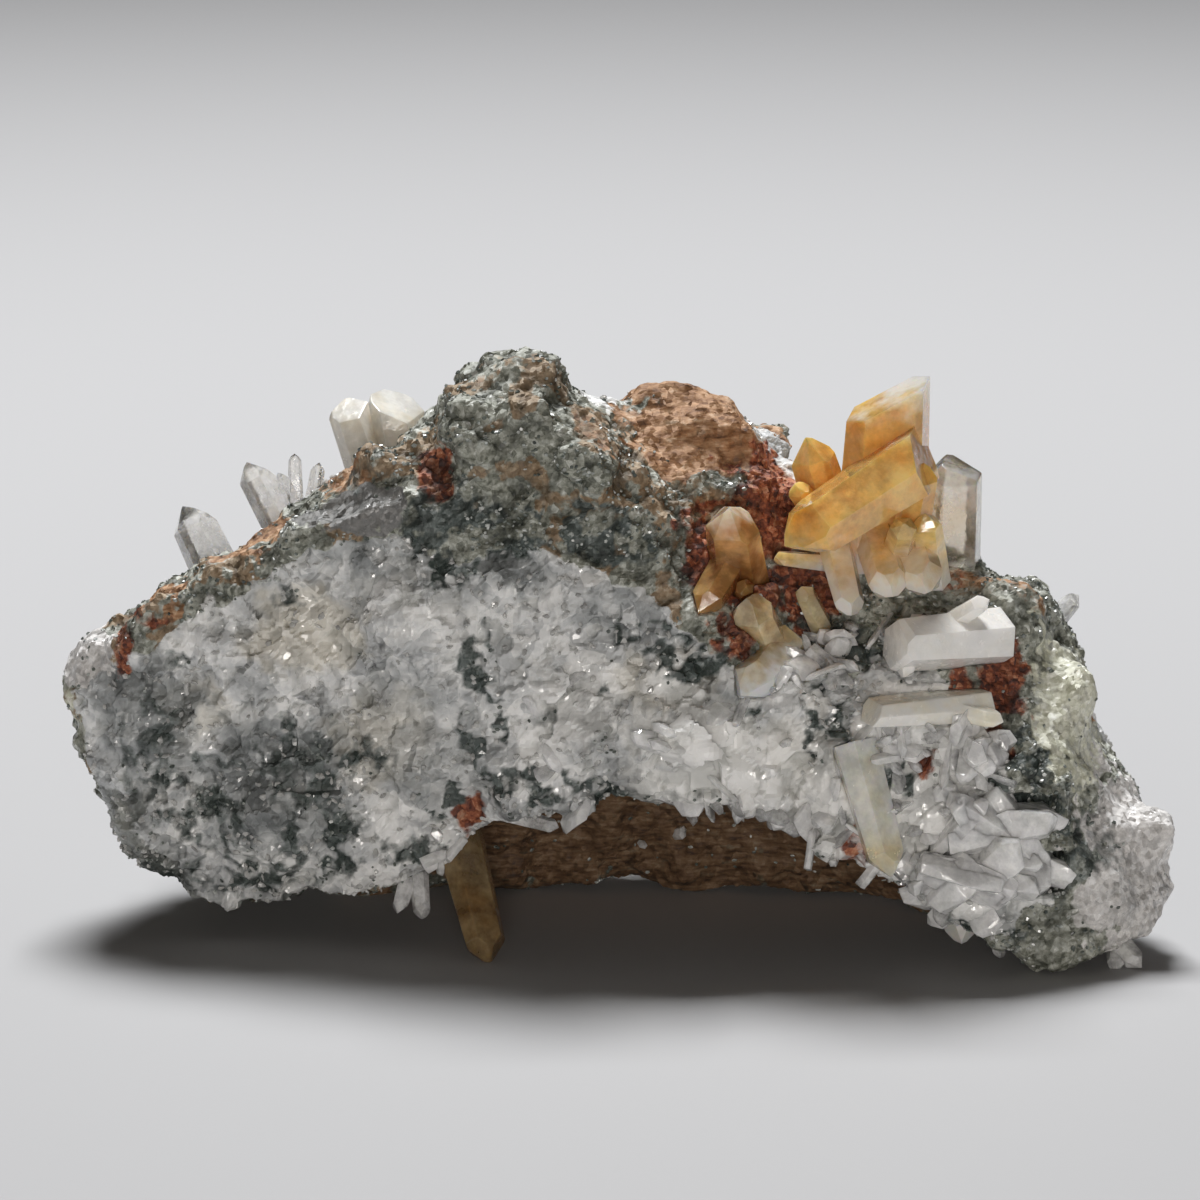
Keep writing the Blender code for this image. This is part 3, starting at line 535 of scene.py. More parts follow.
# stains and patches on the front: middle (x, y, z), radii (x, y, z), strength
patches = {
    "chlorite": [
        ((-20, 1, 50), (6, 6, 7), 1.0), ((-12, 2, 50.5), (7, 5, 4), 0.9),
        ((0, 1, 49), (6, 5, 3.5), 0.8), ((-16.8, 0, 35), (2.8, 6, 6.5), 0.8),
        ((-15.8, 0, 27), (3.4, 6, 6.5), 0.88), ((-10, -2, 20.5), (7.5, 6, 3.6), 0.85),
        ((-3, -3, 19.5), (5, 6, 3), 0.8), ((-20.5, 1, 18.5), (3, 5, 3.4), 0.9),
        ((-37, 4, 22), (8, 6, 8), 0.66), ((-48, 6, 17), (10, 7, 8), 0.66),
        ((-55, 7, 22), (5, 6, 10), 0.64), ((-35, 4, 13), (8, 6, 6), 0.72),
        ((-44, 5, 8), (12, 7, 3.6), 0.72), ((-29, 3, 24), (4, 6, 4), 0.6),
        ((3.5, -2, 38.5), (6, 6, 2.6), 0.8), ((-2, -2, 34), (4, 6, 2.6), 0.6),
        ((8, -3, 36), (5, 6, 2.8), 0.85), ((14.5, -5, 31), (2, 6, 1.2), 0.7),
        ((23.5, -5, 29), (3.4, 6, 6), 0.9), ((35, -2, 36), (4, 6, 2.4), 0.9),
        ((45, -3, 23), (6, 7, 6), 0.95), ((53, -4, 12), (6, 8, 9), 0.6), ((33, -4, 23), (4, 6, 3), 0.9),
        ((32, -5, 11), (4, 6, 5), 0.85), ((24, 3, 38), (6, 6, 3), 0.7), ((-55, 8, 8), (10, 8, 3), 0.6),
        ((-23, 2, 12), (8, 6, 2.4), 0.7), ((4, -4, 20), (12, 5, 1.8), 0.45),
        ((38, -6, 5), (12, 8, 2.4), 0.8), ((18, 0, 36), (4, 6, 3), 0.6),
        ((-4, 0, 51), (7, 5, 3.5), 1.0), ((-16, 3, 55), (5, 5, 3), 0.6),
        ((49.5, -4, 15), (4.5, 8, 9), 0.85), ((-52, 9, 34), (5, 6, 2), 0.6),
        ((-40, 8, 42), (8, 6, 2), 0.6), ((26, 1, 36), (5, 6, 3), 0.9), ((-32, 6, 55), (9, 6, 2.0), 0.6),
        ((-8, -1, 29), (3, 5, 2), 0.5),
    ],
    "smoky": [
        ((-30, 4, 49), (9, 6, 4), 0.8), ((-15, 1, 48.5), (8, 6, 5), 0.9),
        ((-55, 8, 27), (7, 6, 7), 0.8), ((-42, 4, 19), (10, 6, 8), 0.8), ((-21, 1, 23), (6, 6, 6), 0.6),
        ((-25, 1, 31), (6, 6, 3), 0.4), ((0, -1, 42), (7, 6, 3), 0.5), ((12, -4, 31), (6, 5, 3), 0.5),
        ((27, -6, 24), (4, 5, 4), 0.5),
    ],
    "ice": [
        ((9, -6, 27), (8.5, 7, 4.5), 1.0), ((10, -6, 21), (11, 6, 3.6), 1.0),
        ((25, -7, 19), (6, 6, 5), 0.9), ((-5, -2, 30), (5, 5, 5), 0.7), ((37, -8, 20), (8, 8, 13), 0.8),
        ((6, -4, 34), (3, 5, 3), 0.9), ((20, -6, 27), (4, 5, 4), 0.6),
    ],
    "tan": [
        ((-2, 6, 59), (7, 6, 6), 0.8), ((-12, 8, 66), (9, 7, 4), 0.4), ((-24, 9, 56), (6, 6, 4), 0.5),
        ((6, 8, 53), (6, 5, 4), 0.6), ((-45, 10, 44), (13, 6, 3), 0.85),
        ((-2, 2, 54), (5, 4, 2.5), 0.8),
    ],
    "blades": [
        ((36, -8, 17), (9, 8, 10), 0.5), ((26, -8, 18), (4, 7, 5), 0.7),
        ((27, 0, 37), (5, 6, 3.5), 0.9), ((33, -3, 27), (9, 6, 4), 0.9),
        ((10, -5, 17.5), (15, 6, 2.4), 0.9), ((20, 0, 34), (5, 5, 3), 0.6),
        ((-20, 3, 13), (3, 4, 3), 0.4), ((12, -5, 27), (14, 7, 6), 0.15),
        ((-6, -3, 28), (6, 6, 8), 0.08),
    ],
    "rust": [
        ((12, 18, 60), (14, 11, 10), 1.0), ((6, 11, 58), (6, 5, 6), 0.8),
        ((-30, 13, 55), (7, 6, 3), 0.6), ((-42, 13, 47), (12, 6, 3), 0.75),
        ((-53, 12, 40), (8, 6, 2.6), 0.75), ((-14, 8, 66), (5, 6, 4), 0.3),
        ((-3, 4, 61), (4, 5, 3), 0.4), ((2, 22, 8), (34, 12, 14), 0.9),
        ((24, 20, 8), (20, 12, 12), 0.8), ((-19, 2, 18), (3, 5, 3), 0.6),
    ],
    "brick": [
        ((18, 11, 52), (6.5, 10, 7), 1.0), ((12, 5, 46), (5.5, 7, 7), 1.0),
        ((12.5, 2, 38), (3, 6, 4), 0.9), ((22, 6, 43), (5, 7, 4), 0.9),
        ((-21.5, 4, 56.5), (2.2, 5, 3.2), 0.8), ((-57.8, 10, 35.5), (1.2, 6, 3.6), 0.85),
        ((-55, 11, 39), (3.4, 5, 1.3), 0.75), ((43.8, 0, 32.6), (3.2, 7, 6.4), 0.9),
        ((35, -3, 25), (2, 5, 2.2), 0.9), ((39.5, -1, 32.5), (1.6, 5, 1.8), 0.8),
        ((21.5, 2, 39), (2.2, 5, 2.6), 0.85), ((24.5, 0, 37.5), (1.4, 5, 1.2), 0.8),
        ((-17.6, 1, 16.5), (1.9, 5, 2.6), 0.9), ((27, -7, 15.5), (1.6, 5, 3), 0.6),
        ((38, 8, 44), (3, 4, 2), 0.5),
    ],
    "olive": [
        ((53, 3, 28), (6.2, 10, 11), 0.9), ((-64, 12, 27), (2.6, 6, 3), 0.5),
    ],
    "pinkGrey": [
        ((60.5, 0, 12.5), (9, 11, 13), 0.95), ((-63, 12, 33.5), (4.5, 7, 4), 0.8),
    ],
    "lens": [
        ((-29.6, 5, 52.0), (7.5, 4, 2.6), 1.0),
    ],
    "yellow": [
        ((-36, 4, 38), (7, 6, 5), 0.45), ((-28, 2, 26), (6, 6, 6), 0.35),
        ((-50, 6, 28), (4, 6, 4), 0.35), ((6, -3, 33), (6, 6, 4), 0.35), ((10, -5, 20), (8, 5, 4), 0.4),
        ((20, -6, 25), (4, 5, 6), 0.3),
    ],
}


def outlineDistance(outline, x, z):
    # signed distance to a closed outline, positive inside
    inside = False
    nearest = 1e9
    for (xa, za), (xb, zb) in zip(outline, outline[1:] + outline[:1]):
        if (za > z) != (zb > z) and x < xa + (z - za) * (xb - xa) / (zb - za):
            inside = not inside
        run = clamp(((x - xa) * (xb - xa) + (z - za) * (zb - za)) / ((xb - xa) ** 2 + (zb - za) ** 2))
        nearest = min(nearest, math.hypot(x - xa - run * (xb - xa), z - za - run * (zb - za)))
    return nearest if inside else -nearest


def patchWeight(kind, place, fuzz):
    total = 0.0
    for middle, radii, strength in patches[kind]:
        away = math.sqrt(sum(((place[i] - middle[i]) / radii[i]) ** 2 for i in range(3)))
        if away < 1.8:
            total = max(total, strength * smooth(1.25, 0.75, away + fuzz * 0.55))
    return total


def rockWeights(place):
    # how much of each kind of surface there is at a measured place
    broad = noise.noise(place / 11.0)
    fuzz = noise.noise(place / 3.1) + 0.6 * noise.noise(place / 1.1)
    edge = outlineDistance(veinOutline, place.x, place.z) + 1.6 * fuzz
    front = onLine(veinFrontLimit, place.x) - place.y + 1.5 * fuzz
    vein = smooth(-0.6, 0.9, edge) * smooth(-1.0, 1.5, front)
    hidden = smooth(2.0, 10.0, place.y - onLine(veinFrontLimit, place.x))
    crop = smooth(0.16, 0.34, noise.noise(place / 15.0 + Vector((3.1, 0.0, 0.0))) + 0.12 * fuzz)
    vein = max(vein, hidden * crop * 0.9 * smooth(16.0, 22.0, place.z))
    weights = {kind: patchWeight(kind, place, fuzz) for kind in stoneKinds if kind != "vein"}
    weights["vein"] = vein
    weights["blades"] = patchWeight("blades", place, 0.0)
    spotty = smooth(0.05, 0.35, noise.noise(place / 5.0 + Vector((0.0, 3.0, 8.0))) + 0.3 * fuzz)
    spotty *= 0.7 * smooth(34.0, 22.0, place.x)
    weights["tan"] = max(weights["tan"] * smooth(-0.5, 0.2, fuzz), spotty)
    stain = smooth(0.14, 0.36, noise.noise(place / 13.0 + Vector((0.0, 7.7, 0.0))) + 0.14 * fuzz)
    weights["rust"] = max(weights["rust"], hidden * stain * 0.7)
    specks = smooth(0.42, 0.56, noise.noise(place / 1.5 + Vector((5.0, 5.0, 1.0))) + 0.25 * broad)
    weights["chlorite"] = max(weights["chlorite"] * smooth(-0.45, 0.25, fuzz), specks * vein * 0.2)
    return weights


def cellRelief(place, size, seed):
    # height of a surface broken into flat grains that each tilt their own way
    spots = noise.voronoi(place / size)[1]
    tilt = noise.cell_vector(spots[0] * 13.7 + Vector((seed, 0.0, 0.0))) * 2.0 - Vector((1.0, 1.0, 1.0))
    return (place - spots[0] * size).dot(tilt) / size + 0.5 * tilt.x


def noduleRelief(place, size):
    return 0.5 - noise.voronoi(place / size)[0][0]


def rockRelief(place, weights):
    # height over the CAD surface in mm, and how much painted shade darkens the place: deep in a crevice, in
    # a low grain of the vein, or on the wall behind the arch
    broad = noise.noise(place / 7.0) * 0.6
    large, small = rock["veinGrain"]
    vein = cellRelief(place, large, 1.0) * 0.55 + cellRelief(place, small, 5.0) * 0.30
    large, small = rock["massiveGrain"]
    massive = cellRelief(place, large, 11.0) * 1.35 + cellRelief(place, small, 3.0) * 0.40
    vein += (massive - vein) * weights["ice"]
    lump, knot, crumb = [noduleRelief(place, size) for size in rock["nodules"]]
    layers = abs(noise.noise(Vector((place.x / 6.0, place.y / 6.0, (place.z - 0.55 * place.x) / 1.3))))
    schist = lump * 1.7 + knot * 0.8 + crumb * 0.35 + (0.3 - layers) * 0.5
    rusty = noduleRelief(place, 1.1) * 0.5 + noise.noise(place / 2.6) * 0.5
    crumbly = knot * 0.9 + crumb * 0.8
    stained = max(weights["rust"], weights["olive"], weights["pinkGrey"], weights["lens"])
    schist = schist * (1.0 - stained) + rusty * stained
    schist += (crumbly - schist) * weights["brick"]
    bare = 1.0 - weights["vein"]
    height = broad + schist * rock["schistRelief"] * bare + vein * rock["veinRelief"] * weights["vein"]
    # painted shade in the crevices between nodules and in the low grains of the vein
    recess = smooth(0.10, -0.30, lump * 0.7 + knot * 0.5) * (1.0 - 0.9 * stained) * bare
    recess = max(recess, 0.5 * smooth(-0.1, -0.6, vein) * weights["vein"])
    # painted shade over the whole wall behind the arch, where the rock's shadow falls
    shadeDepth, shadeTop = rock["shadeFrom"]
    if place.y > shadeDepth and place.z < shadeTop:
        recess = max(recess, rock["shade"])
    return height, recess


def addMask(mesh, name, values):
    mesh.attributes.new(name, "FLOAT", "POINT").data.foreach_set("value", values)


def mergedMesh(node):
    bm = bmesh.new()
    bm.from_mesh(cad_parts[node].data)
    bmesh.ops.remove_doubles(bm, verts=bm.verts[:], dist=1e-6)
    return bm


def crystalTree():
    # every crystal solid in one search tree, so that the rock can close in on them
    verts, faces = [], []
    for node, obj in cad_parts.items():
        if node == "matrix_rock":
            continue
        base = len(verts)
        verts += [obj.matrix_world @ vert.co for vert in obj.data.vertices]
        faces += [[base + i for i in face.vertices] for face in obj.data.polygons]
    return BVHTree.FromPolygons(verts, faces)


def makeRock():
    bm = mergedMesh("matrix_rock")
    mesh = bpy.data.meshes.new("rockBody")
    bm.to_mesh(mesh)
    bm.free()
    carrier = addPiece("rockBody", mesh)
    melt = carrier.modifiers.new("melt", "REMESH")
    melt.mode = "VOXEL"
    melt.voxel_size = rock["voxel"] * mm
    soften = carrier.modifiers.new("soften", "SMOOTH")
    soften.iterations = rock["smoothing"]
    soften.factor = 0.5
    mesh = evaluatedCopy(carrier, "rockBody")
    carrier.modifiers.clear()
    carrier.data = mesh
    masks = {kind: [] for kind in stoneKinds + ("blades", "recess")}
    crystals = crystalTree()
    close, far = rock["crystalReach"]
    moved = []
    for vertex in mesh.vertices:
        place = vertex.co / mm - measuredOrigin
        weights = rockWeights(place)
        height, weights["recess"] = rockRelief(place, weights)
        distance = crystals.find_nearest(vertex.co, far * mm)[3]
        if distance is not None:
            near = smooth(far, close, distance / mm)
            height = height * (1.0 - near) + rock["contact"] * near
        point = vertex.co + vertex.normal * height * mm
        if vertex.co.z < rock["feet"] * mm:
            point.z = max(point.z, vertex.co.z)
        if place.y > rock["frontDepth"] and point.z < rock["rim"] * mm:
            point.z = lowest + (point.z - lowest) * smooth(0.0, rock["rim"], point.z / mm) * 0.9
        point.z = max(point.z, lowest)
        moved.append(point)
        for kind, values in masks.items():
            values.append(weights[kind])
    mesh.vertices.foreach_set("co", [number for point in moved for number in point])
    mesh.update()
    for kind, values in masks.items():
        addMask(mesh, kind + "Mask", values)
    return carrier, masks


def splitRock(whole):
    # pieces that share their cuts, so that each stays light
    parts = {
        "rockFrontLeft": lambda at: at.y <= 0.0 and at.x <= -0.004,
        "rockFrontRight": lambda at: at.y <= 0.0 and at.x > -0.004,
        "rockBack": lambda at: at.y > 0.0,
    }
    pieces = []
    for name, belongs in parts.items():
        bm = bmesh.new()
        bm.from_mesh(whole.data)
        away = [face for face in bm.faces if not belongs(face.calc_center_median())]
        bmesh.ops.delete(bm, geom=away, context="FACES")
        mesh = bpy.data.meshes.new(name)
        bm.to_mesh(mesh)
        bm.free()
        pieces.append(addPiece(name, mesh))
    bpy.data.objects.remove(whole, do_unlink=True)
    return pieces


def dressStone(piece, schist, vein):
    mesh = piece.data
    mesh.materials.clear()
    mesh.materials.append(schist)
    mesh.materials.append(vein)
    amounts = [0.0] * len(mesh.vertices)
    mesh.attributes["veinMask"].data.foreach_get("value", amounts)
    for face in mesh.polygons:
        face.material_index = 1 if sum(amounts[i] for i in face.vertices) > 2.0 else 0


# Crystals

crystalKinds = {
    "orange_crystal_cluster": "orange", "under_orange_crystal": "orange", "back_orange_crystals": "orange",
    "amber_crystals": "amber", "pale_yellow_crystal": "honey", "finger_crystal": "honey",
    "long_pale_crystal": "yellow", "hanging_yellow_crystal": "hanging", "white_block_crystal": "block",
    "white_crystal_mass": "white", "white_knob_crystal": "white", "peach_plate_crystal": "peach",
    "cream_crystal": "cream", "smoky_crystal_cluster": "smoky", "round_clear_crystal": "smoky",
    "clear_crystal_right": "rustyClear",
}
crystalCut = {     # mm, and degrees below which two faces count as one or an edge stays sharp
    "bevel": 0.14,
    "flat": 1.0,
    "splinterFlat": 9.0,
    "worn": 12.0,
}
splinters = {     # in mm; proud is how far one may stand out of the solid
    "white_crystal_mass": {
        "count": 24, "length": (6.0, 12.5), "width": (4.0, 8.0), "lean": 0.8, "proud": 1.2,
    },
    "white_knob_crystal": {
        "count": 8, "length": (5.0, 8.5), "width": (3.6, 6.0), "lean": 0.6, "proud": 0.8,
    },
}
splinterRings = ((-0.5, 0.55), (0.05, 1.0), (0.42, 0.75), (0.5, 0.35))     # place along it, girth


def insideOf(tree, point):
    nearest, normal, index, distance = tree.find_nearest(point)
    return (point - nearest).dot(normal) < 0.0, nearest, distance


def splinterCorners(middle, along, across, length, width, draw):
    # the corners of one splinter, in uneven rings of five
    side = along.cross(across).normalized()
    corners = []
    for run, girth in splinterRings:
        for k in range(5):
            turn = math.radians(72.0 * k + draw.uniform(-16.0, 16.0))
            reach = 0.5 * width * girth * draw.uniform(0.85, 1.15)
            corners.append(middle + along * length * (run + draw.uniform(-0.04, 0.04))
                           + across * reach * math.cos(turn) + side * 0.7 * reach * math.sin(turn))
    return corners


def pushedIn(corners, tree, proud):
    # the whole splinter moves towards the solid until no corner stands out by more than proud
    for attempt in range(6):
        worst, push = proud, None
        for corner in corners:
            inner, nearest, distance = insideOf(tree, corner)
            if not inner and distance > worst:
                worst, push = distance, (nearest - corner) * (1.0 - proud / distance)
        if push is None:
            break
        corners = [corner + push for corner in corners]
    return corners


def keptClose(corner, tree, proud):
    inner, nearest, distance = insideOf(tree, corner)
    if not inner and distance > proud:
        corner = nearest + (corner - nearest).normalized() * proud
    corner.z = max(corner.z, lowest)
    return corner


def breakUp(node, look, seed):
    # a milky crystal is a jumble of splinters: each is a hull kept close to the solid
    draw = random.Random(seed)
    proud = look["proud"] * mm
    solid = mergedMesh(node)
    tree = BVHTree.FromBMesh(solid)
    spots = [vert.co.copy() for vert in solid.verts]
    low = Vector([min(spot[i] for spot in spots) for i in range(3)])
    high = Vector([max(spot[i] for spot in spots) for i in range(3)])
    longest = max(range(3), key=lambda i: high[i] - low[i])
    main = Vector([1.0 if i == longest else 0.0 for i in range(3)])
    built = bmesh.new()
    made = 0
    while made < look["count"]:
        middle = Vector([draw.uniform(low[i], high[i]) for i in range(3)])
        if not insideOf(tree, middle)[0]:
            continue
        made += 1
        along = (main + Vector([draw.uniform(-1.0, 1.0) for i in range(3)]) * look["lean"]).normalized()
        across = along.cross(Vector([draw.uniform(-1.0, 1.0) for i in range(3)])).normalized()
        length, width = draw.uniform(*look["length"]) * mm, draw.uniform(*look["width"]) * mm
        corners = splinterCorners(middle, along, across, length, width, draw)
        corners = pushedIn(corners, tree, proud)
        fresh = [built.verts.new(keptClose(corner, tree, proud)) for corner in corners]
        hull = bmesh.ops.convex_hull(built, input=fresh)
        left = hull["geom_interior"] + hull["geom_unused"]
        spare = {item for item in left if isinstance(item, bmesh.types.BMVert)}
        bmesh.ops.delete(built, geom=list(spare), context="VERTS")
    flat = math.radians(crystalCut["splinterFlat"])
    bmesh.ops.dissolve_limit(built, angle_limit=flat, verts=built.verts[:], edges=built.edges[:])
    bmesh.ops.recalc_face_normals(built, faces=built.faces[:])
    mesh = bpy.data.meshes.new(node)
    built.to_mesh(mesh)
    built.free()
    solid.free()
    return mesh


def makeCrystal(node):
    if node in splinters:
        mesh = breakUp(node, splinters[node], len(node))
    else:
        bm = mergedMesh(node)
        flat = math.radians(crystalCut["flat"])
        bmesh.ops.dissolve_limit(bm, angle_limit=flat, verts=bm.verts[:], edges=bm.edges[:])
        mesh = bpy.data.meshes.new(node)
        bm.to_mesh(mesh)
        bm.free()
    name = node.replace("_", " ").title().replace(" ", "")
    piece = addPiece(name[0].lower() + name[1:], mesh)
    worn = piece.modifiers.new("worn edges", "BEVEL")
    worn.width = crystalCut["bevel"] * mm
    worn.segments = 2
    worn.limit_method = "ANGLE"
    worn.angle_limit = math.radians(crystalCut["worn"])
    piece.data = evaluatedCopy(piece, piece.name)
    piece.modifiers.clear()
    piece.data.materials.clear()
    piece.data.materials.append(quartzOf(crystalKinds.get(node, "clear")))
    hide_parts(node)
    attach(piece, "root")


# Scattered pieces, placed by Geometry Nodes on the rock's surface

scatterInputs = {
    "Shape": "NodeSocketObject", "Mask": "NodeSocketString", "Per Area": "NodeSocketFloat",
    "Smallest": "NodeSocketVector", "Largest": "NodeSocketVector", "Lean": "NodeSocketFloat",
    "Sink": "NodeSocketFloat", "Seed": "NodeSocketInt",
}


def scatterTree(name, material):
    # copies of Shape on the faces where Mask allows, Per Area of them on a square metre
    tree = bpy.data.node_groups.new(name, "GeometryNodeTree")
    sockets = tree.interface
    sockets.new_socket("Geometry", in_out="INPUT", socket_type="NodeSocketGeometry")
    for label, kind in scatterInputs.items():
        sockets.new_socket(label, in_out="INPUT", socket_type=kind)
    sockets.new_socket("Geometry", in_out="OUTPUT", socket_type="NodeSocketGeometry")
    link = tree.links.new
    given = addNode(tree, "NodeGroupInput").outputs
    mask = addNode(tree, "GeometryNodeInputNamedAttribute", data_type="FLOAT")
    link(given["Mask"], mask.inputs["Name"])
    amount = addNode(tree, "ShaderNodeMath", operation="MULTIPLY")
    link(mask.outputs["Attribute"], amount.inputs[0])
    link(given["Per Area"], amount.inputs[1])
    spread = addNode(tree, "GeometryNodeDistributePointsOnFaces")
    link(given["Geometry"], spread.inputs["Mesh"])
    link(amount.outputs[0], spread.inputs["Density"])
    link(given["Seed"], spread.inputs["Seed"])
    shape = addNode(tree, "GeometryNodeObjectInfo")
    link(given["Shape"], shape.inputs["Object"])
    size = addNode(tree, "FunctionNodeRandomValue", data_type="FLOAT_VECTOR")
    link(given["Smallest"], size.inputs["Min"])
    link(given["Largest"], size.inputs["Max"])
    link(given["Seed"], size.inputs["Seed"])
    less = addNode(tree, "ShaderNodeMath", operation="MULTIPLY")
    link(given["Lean"], less.inputs[0])
    less.inputs[1].default_value = -1.0
    lean = addNode(tree, "FunctionNodeRandomValue", data_type="FLOAT_VECTOR")
    link(less.outputs[0], lean.inputs["Min"])
    link(given["Lean"], lean.inputs["Max"])
    link(given["Seed"], lean.inputs["Seed"])
    spin = addNode(tree, "FunctionNodeEulerToRotation")
    link(lean.outputs["Value"], spin.inputs["Euler"])
    turn = addNode(tree, "FunctionNodeRotateRotation", rotation_space="LOCAL")
    link(spread.outputs["Rotation"], turn.inputs["Rotation"])
    link(spin.outputs["Rotation"], turn.inputs["Rotate By"])
    put = addNode(tree, "GeometryNodeInstanceOnPoints")
    link(spread.outputs["Points"], put.inputs["Points"])
    link(shape.outputs["Geometry"], put.inputs["Instance"])
    link(turn.outputs["Rotation"], put.inputs["Rotation"])
    link(size.outputs["Value"], put.inputs["Scale"])
    down = addNode(tree, "ShaderNodeCombineXYZ")
    link(given["Sink"], down.inputs["Z"])
    sunk = addNode(tree, "GeometryNodeTranslateInstances")
    link(put.outputs["Instances"], sunk.inputs["Instances"])
    link(down.outputs["Vector"], sunk.inputs["Translation"])
    real = addNode(tree, "GeometryNodeRealizeInstances")
    link(sunk.outputs["Instances"], real.inputs["Geometry"])
    dress = addNode(tree, "GeometryNodeSetMaterial")
    dress.inputs["Material"].default_value = material
    link(real.outputs["Geometry"], dress.inputs["Geometry"])
    link(dress.outputs["Geometry"], addNode(tree, "NodeGroupOutput").inputs["Geometry"])
    return tree


def scatter(surface, name, tree, values):
    carrier = addPiece(name, surface.data)
    modifier = carrier.modifiers.new(name, "NODES")
    modifier.node_group = tree
    for item in tree.interface.items_tree:
        if item.in_out == "INPUT" and item.name in values:
            modifier[item.identifier] = values[item.name]
    mesh = evaluatedCopy(carrier, name)
    for vertex in mesh.vertices:
        vertex.co.z = max(vertex.co.z, lowest)
    carrier.modifiers.clear()
    carrier.data = mesh
    return carrier


def shapeObject(name, build):
    bm = bmesh.new()
    build(bm)
    mesh = bpy.data.meshes.new(name)
    bm.to_mesh(mesh)
    bm.free()
    return addPiece(name, mesh)


def flakeShape(bm):
    bmesh.ops.create_cone(bm, cap_ends=True, segments=5, radius1=0.5, radius2=0.40, depth=0.2)


def bladeShape(bm):
    # a splinter of quartz: the hull of a few rings of points that narrow and end in a slanted break
    draw = random.Random(31)
    for height, width in ((-0.35, 0.40), (0.25, 0.46), (0.78, 0.38)):
        for k in range(6):
            turn = math.radians(60.0 * k + draw.uniform(-12.0, 12.0))
            reach = width * draw.uniform(0.85, 1.15)
            uneven = 0.05 * draw.uniform(-1.0, 1.0)
            bm.verts.new((reach * math.cos(turn), 0.75 * reach * math.sin(turn), height + uneven))
    for x, y, z in ((0.16, 0.10, 1.0), (-0.10, 0.12, 0.93), (0.12, -0.14, 0.96)):
        bm.verts.new((x, y, z))
    bmesh.ops.convex_hull(bm, input=bm.verts[:])
    bmesh.ops.delete(bm, geom=[vert for vert in bm.verts if not vert.link_faces], context="VERTS")
    bmesh.ops.recalc_face_normals(bm, faces=bm.faces[:])


def grainShape(bm):
    bmesh.ops.create_icosphere(bm, subdivisions=1, radius=0.5)
    draw = random.Random(8)
    for vert in bm.verts:
        vert.co *= draw.uniform(0.75, 1.15)


def pointShape(bm):
    # a small quartz crystal standing on its base
    ring = bmesh.ops.create_circle(bm, cap_ends=True, segments=6, radius=0.5)["verts"]
    top = bmesh.ops.extrude_face_region(bm, geom=bm.faces[:])
    raised = [item for item in top["geom"] if isinstance(item, bmesh.types.BMVert)]
    bmesh.ops.translate(bm, verts=raised, vec=(0.0, 0.0, 1.5))
    roof = [face for face in bm.faces if all(vert in raised for vert in face.verts)]
    bmesh.ops.poke(bm, faces=roof)
    hubs = [vert for vert in bm.verts if len(vert.link_edges) == 6 and vert not in ring]
    peak = max(hubs, key=lambda vert: vert.co.z)
    peak.co.z += 0.55
    peak.co.x += 0.08
    bmesh.ops.translate(bm, verts=ring, vec=(0.0, 0.0, -0.3))
    bmesh.ops.recalc_face_normals(bm, faces=bm.faces[:])


# The specimen

print("rock")
wholeRock, rockMasks = makeRock()


def flakeRule(index, place):
    bare = 1.0 - rockMasks["vein"][index]
    stained = max(rockMasks[kind][index] for kind in ("rust", "brick", "pinkGrey", "olive", "lens"))
    patchy = smooth(-0.35, 0.35, noise.noise(place / 4.0))
    return clamp(bare * (1.0 - stained) * patchy + 0.8 * rockMasks["chlorite"][index] * patchy)


def grainRule(index, place):
    patchy = smooth(-0.2, 0.4, noise.noise(place / 5.0 + Vector((2.0, 9.0, 4.0))))
    return rockMasks["vein"][index] * patchy * (1.0 - rockMasks["ice"][index])


def pointRule(index, place):
    hidden = smooth(16.0, 24.0, place.y - onLine(veinFrontLimit, place.x)) * smooth(38.0, 32.0, place.z)
    nest = smooth(0.05, 0.35, noise.noise(place / 9.0 + Vector((1.0, 4.0, 6.0))))
    return hidden * nest * smooth(4.0, 9.0, place.z)


def bladeRule(index, place):
    return rockMasks["blades"][index] * smooth(0.0, -6.0, place.y - onLine(veinFrontLimit, place.x) - 6.0)


rockPlaces = [vertex.co / mm - measuredOrigin for vertex in wholeRock.data.vertices]
print("rock vertices", len(rockPlaces))

scattered = {     # Smallest and Largest in mm, Sink in metres, Lean in radians, Per Area on a square metre
    "chloriteFlakes": {
        "shape": flakeShape, "rule": flakeRule, "finish": flakeMaterial(),
        "Per Area": 1.1e6, "Smallest": (0.28, 0.25, 0.5), "Largest": (0.85, 0.65, 1.2),
        "Lean": 0.6, "Sink": 0.00004, "Seed": 4,
    },
    "quartzGrains": {
        "shape": grainShape, "rule": grainRule, "finish": grainMaterial(),
        "Per Area": 0.4e6, "Smallest": (0.5, 0.4, 0.3), "Largest": (1.5, 1.2, 0.9),
        "Lean": 1.5, "Sink": -0.0001, "Seed": 9,
    },
    "smallQuartzPoints": {
        "shape": pointShape, "rule": pointRule, "finish": quartzOf("clear"),
        "Per Area": 0.09e6, "Smallest": (0.8, 0.8, 0.7), "Largest": (2.0, 2.0, 2.2),
        "Lean": 0.7, "Sink": -0.0002, "Seed": 15,
    },
    "quartzBlades": {
        "shape": bladeShape, "rule": bladeRule, "finish": quartzOf("white"),
        "Per Area": 0.12e6, "Smallest": (2.0, 1.1, 1.8), "Largest": (5.4, 2.7, 4.8),
        "Lean": 1.2, "Sink": -0.0004, "Seed": 22,
    },
    "clearBlades": {
        "shape": bladeShape, "rule": bladeRule, "finish": quartzOf("clear"),
        "Per Area": 0.10e6, "Smallest": (1.2, 1.0, 2.4), "Largest": (2.8, 2.4, 5.6),
        "Lean": 1.0, "Sink": -0.0005, "Seed": 57,
    },
}
for name, values in scattered.items():
    allowed = [values["rule"](index, place) for index, place in enumerate(rockPlaces)]
    addMask(wholeRock.data, name + "Mask", allowed)
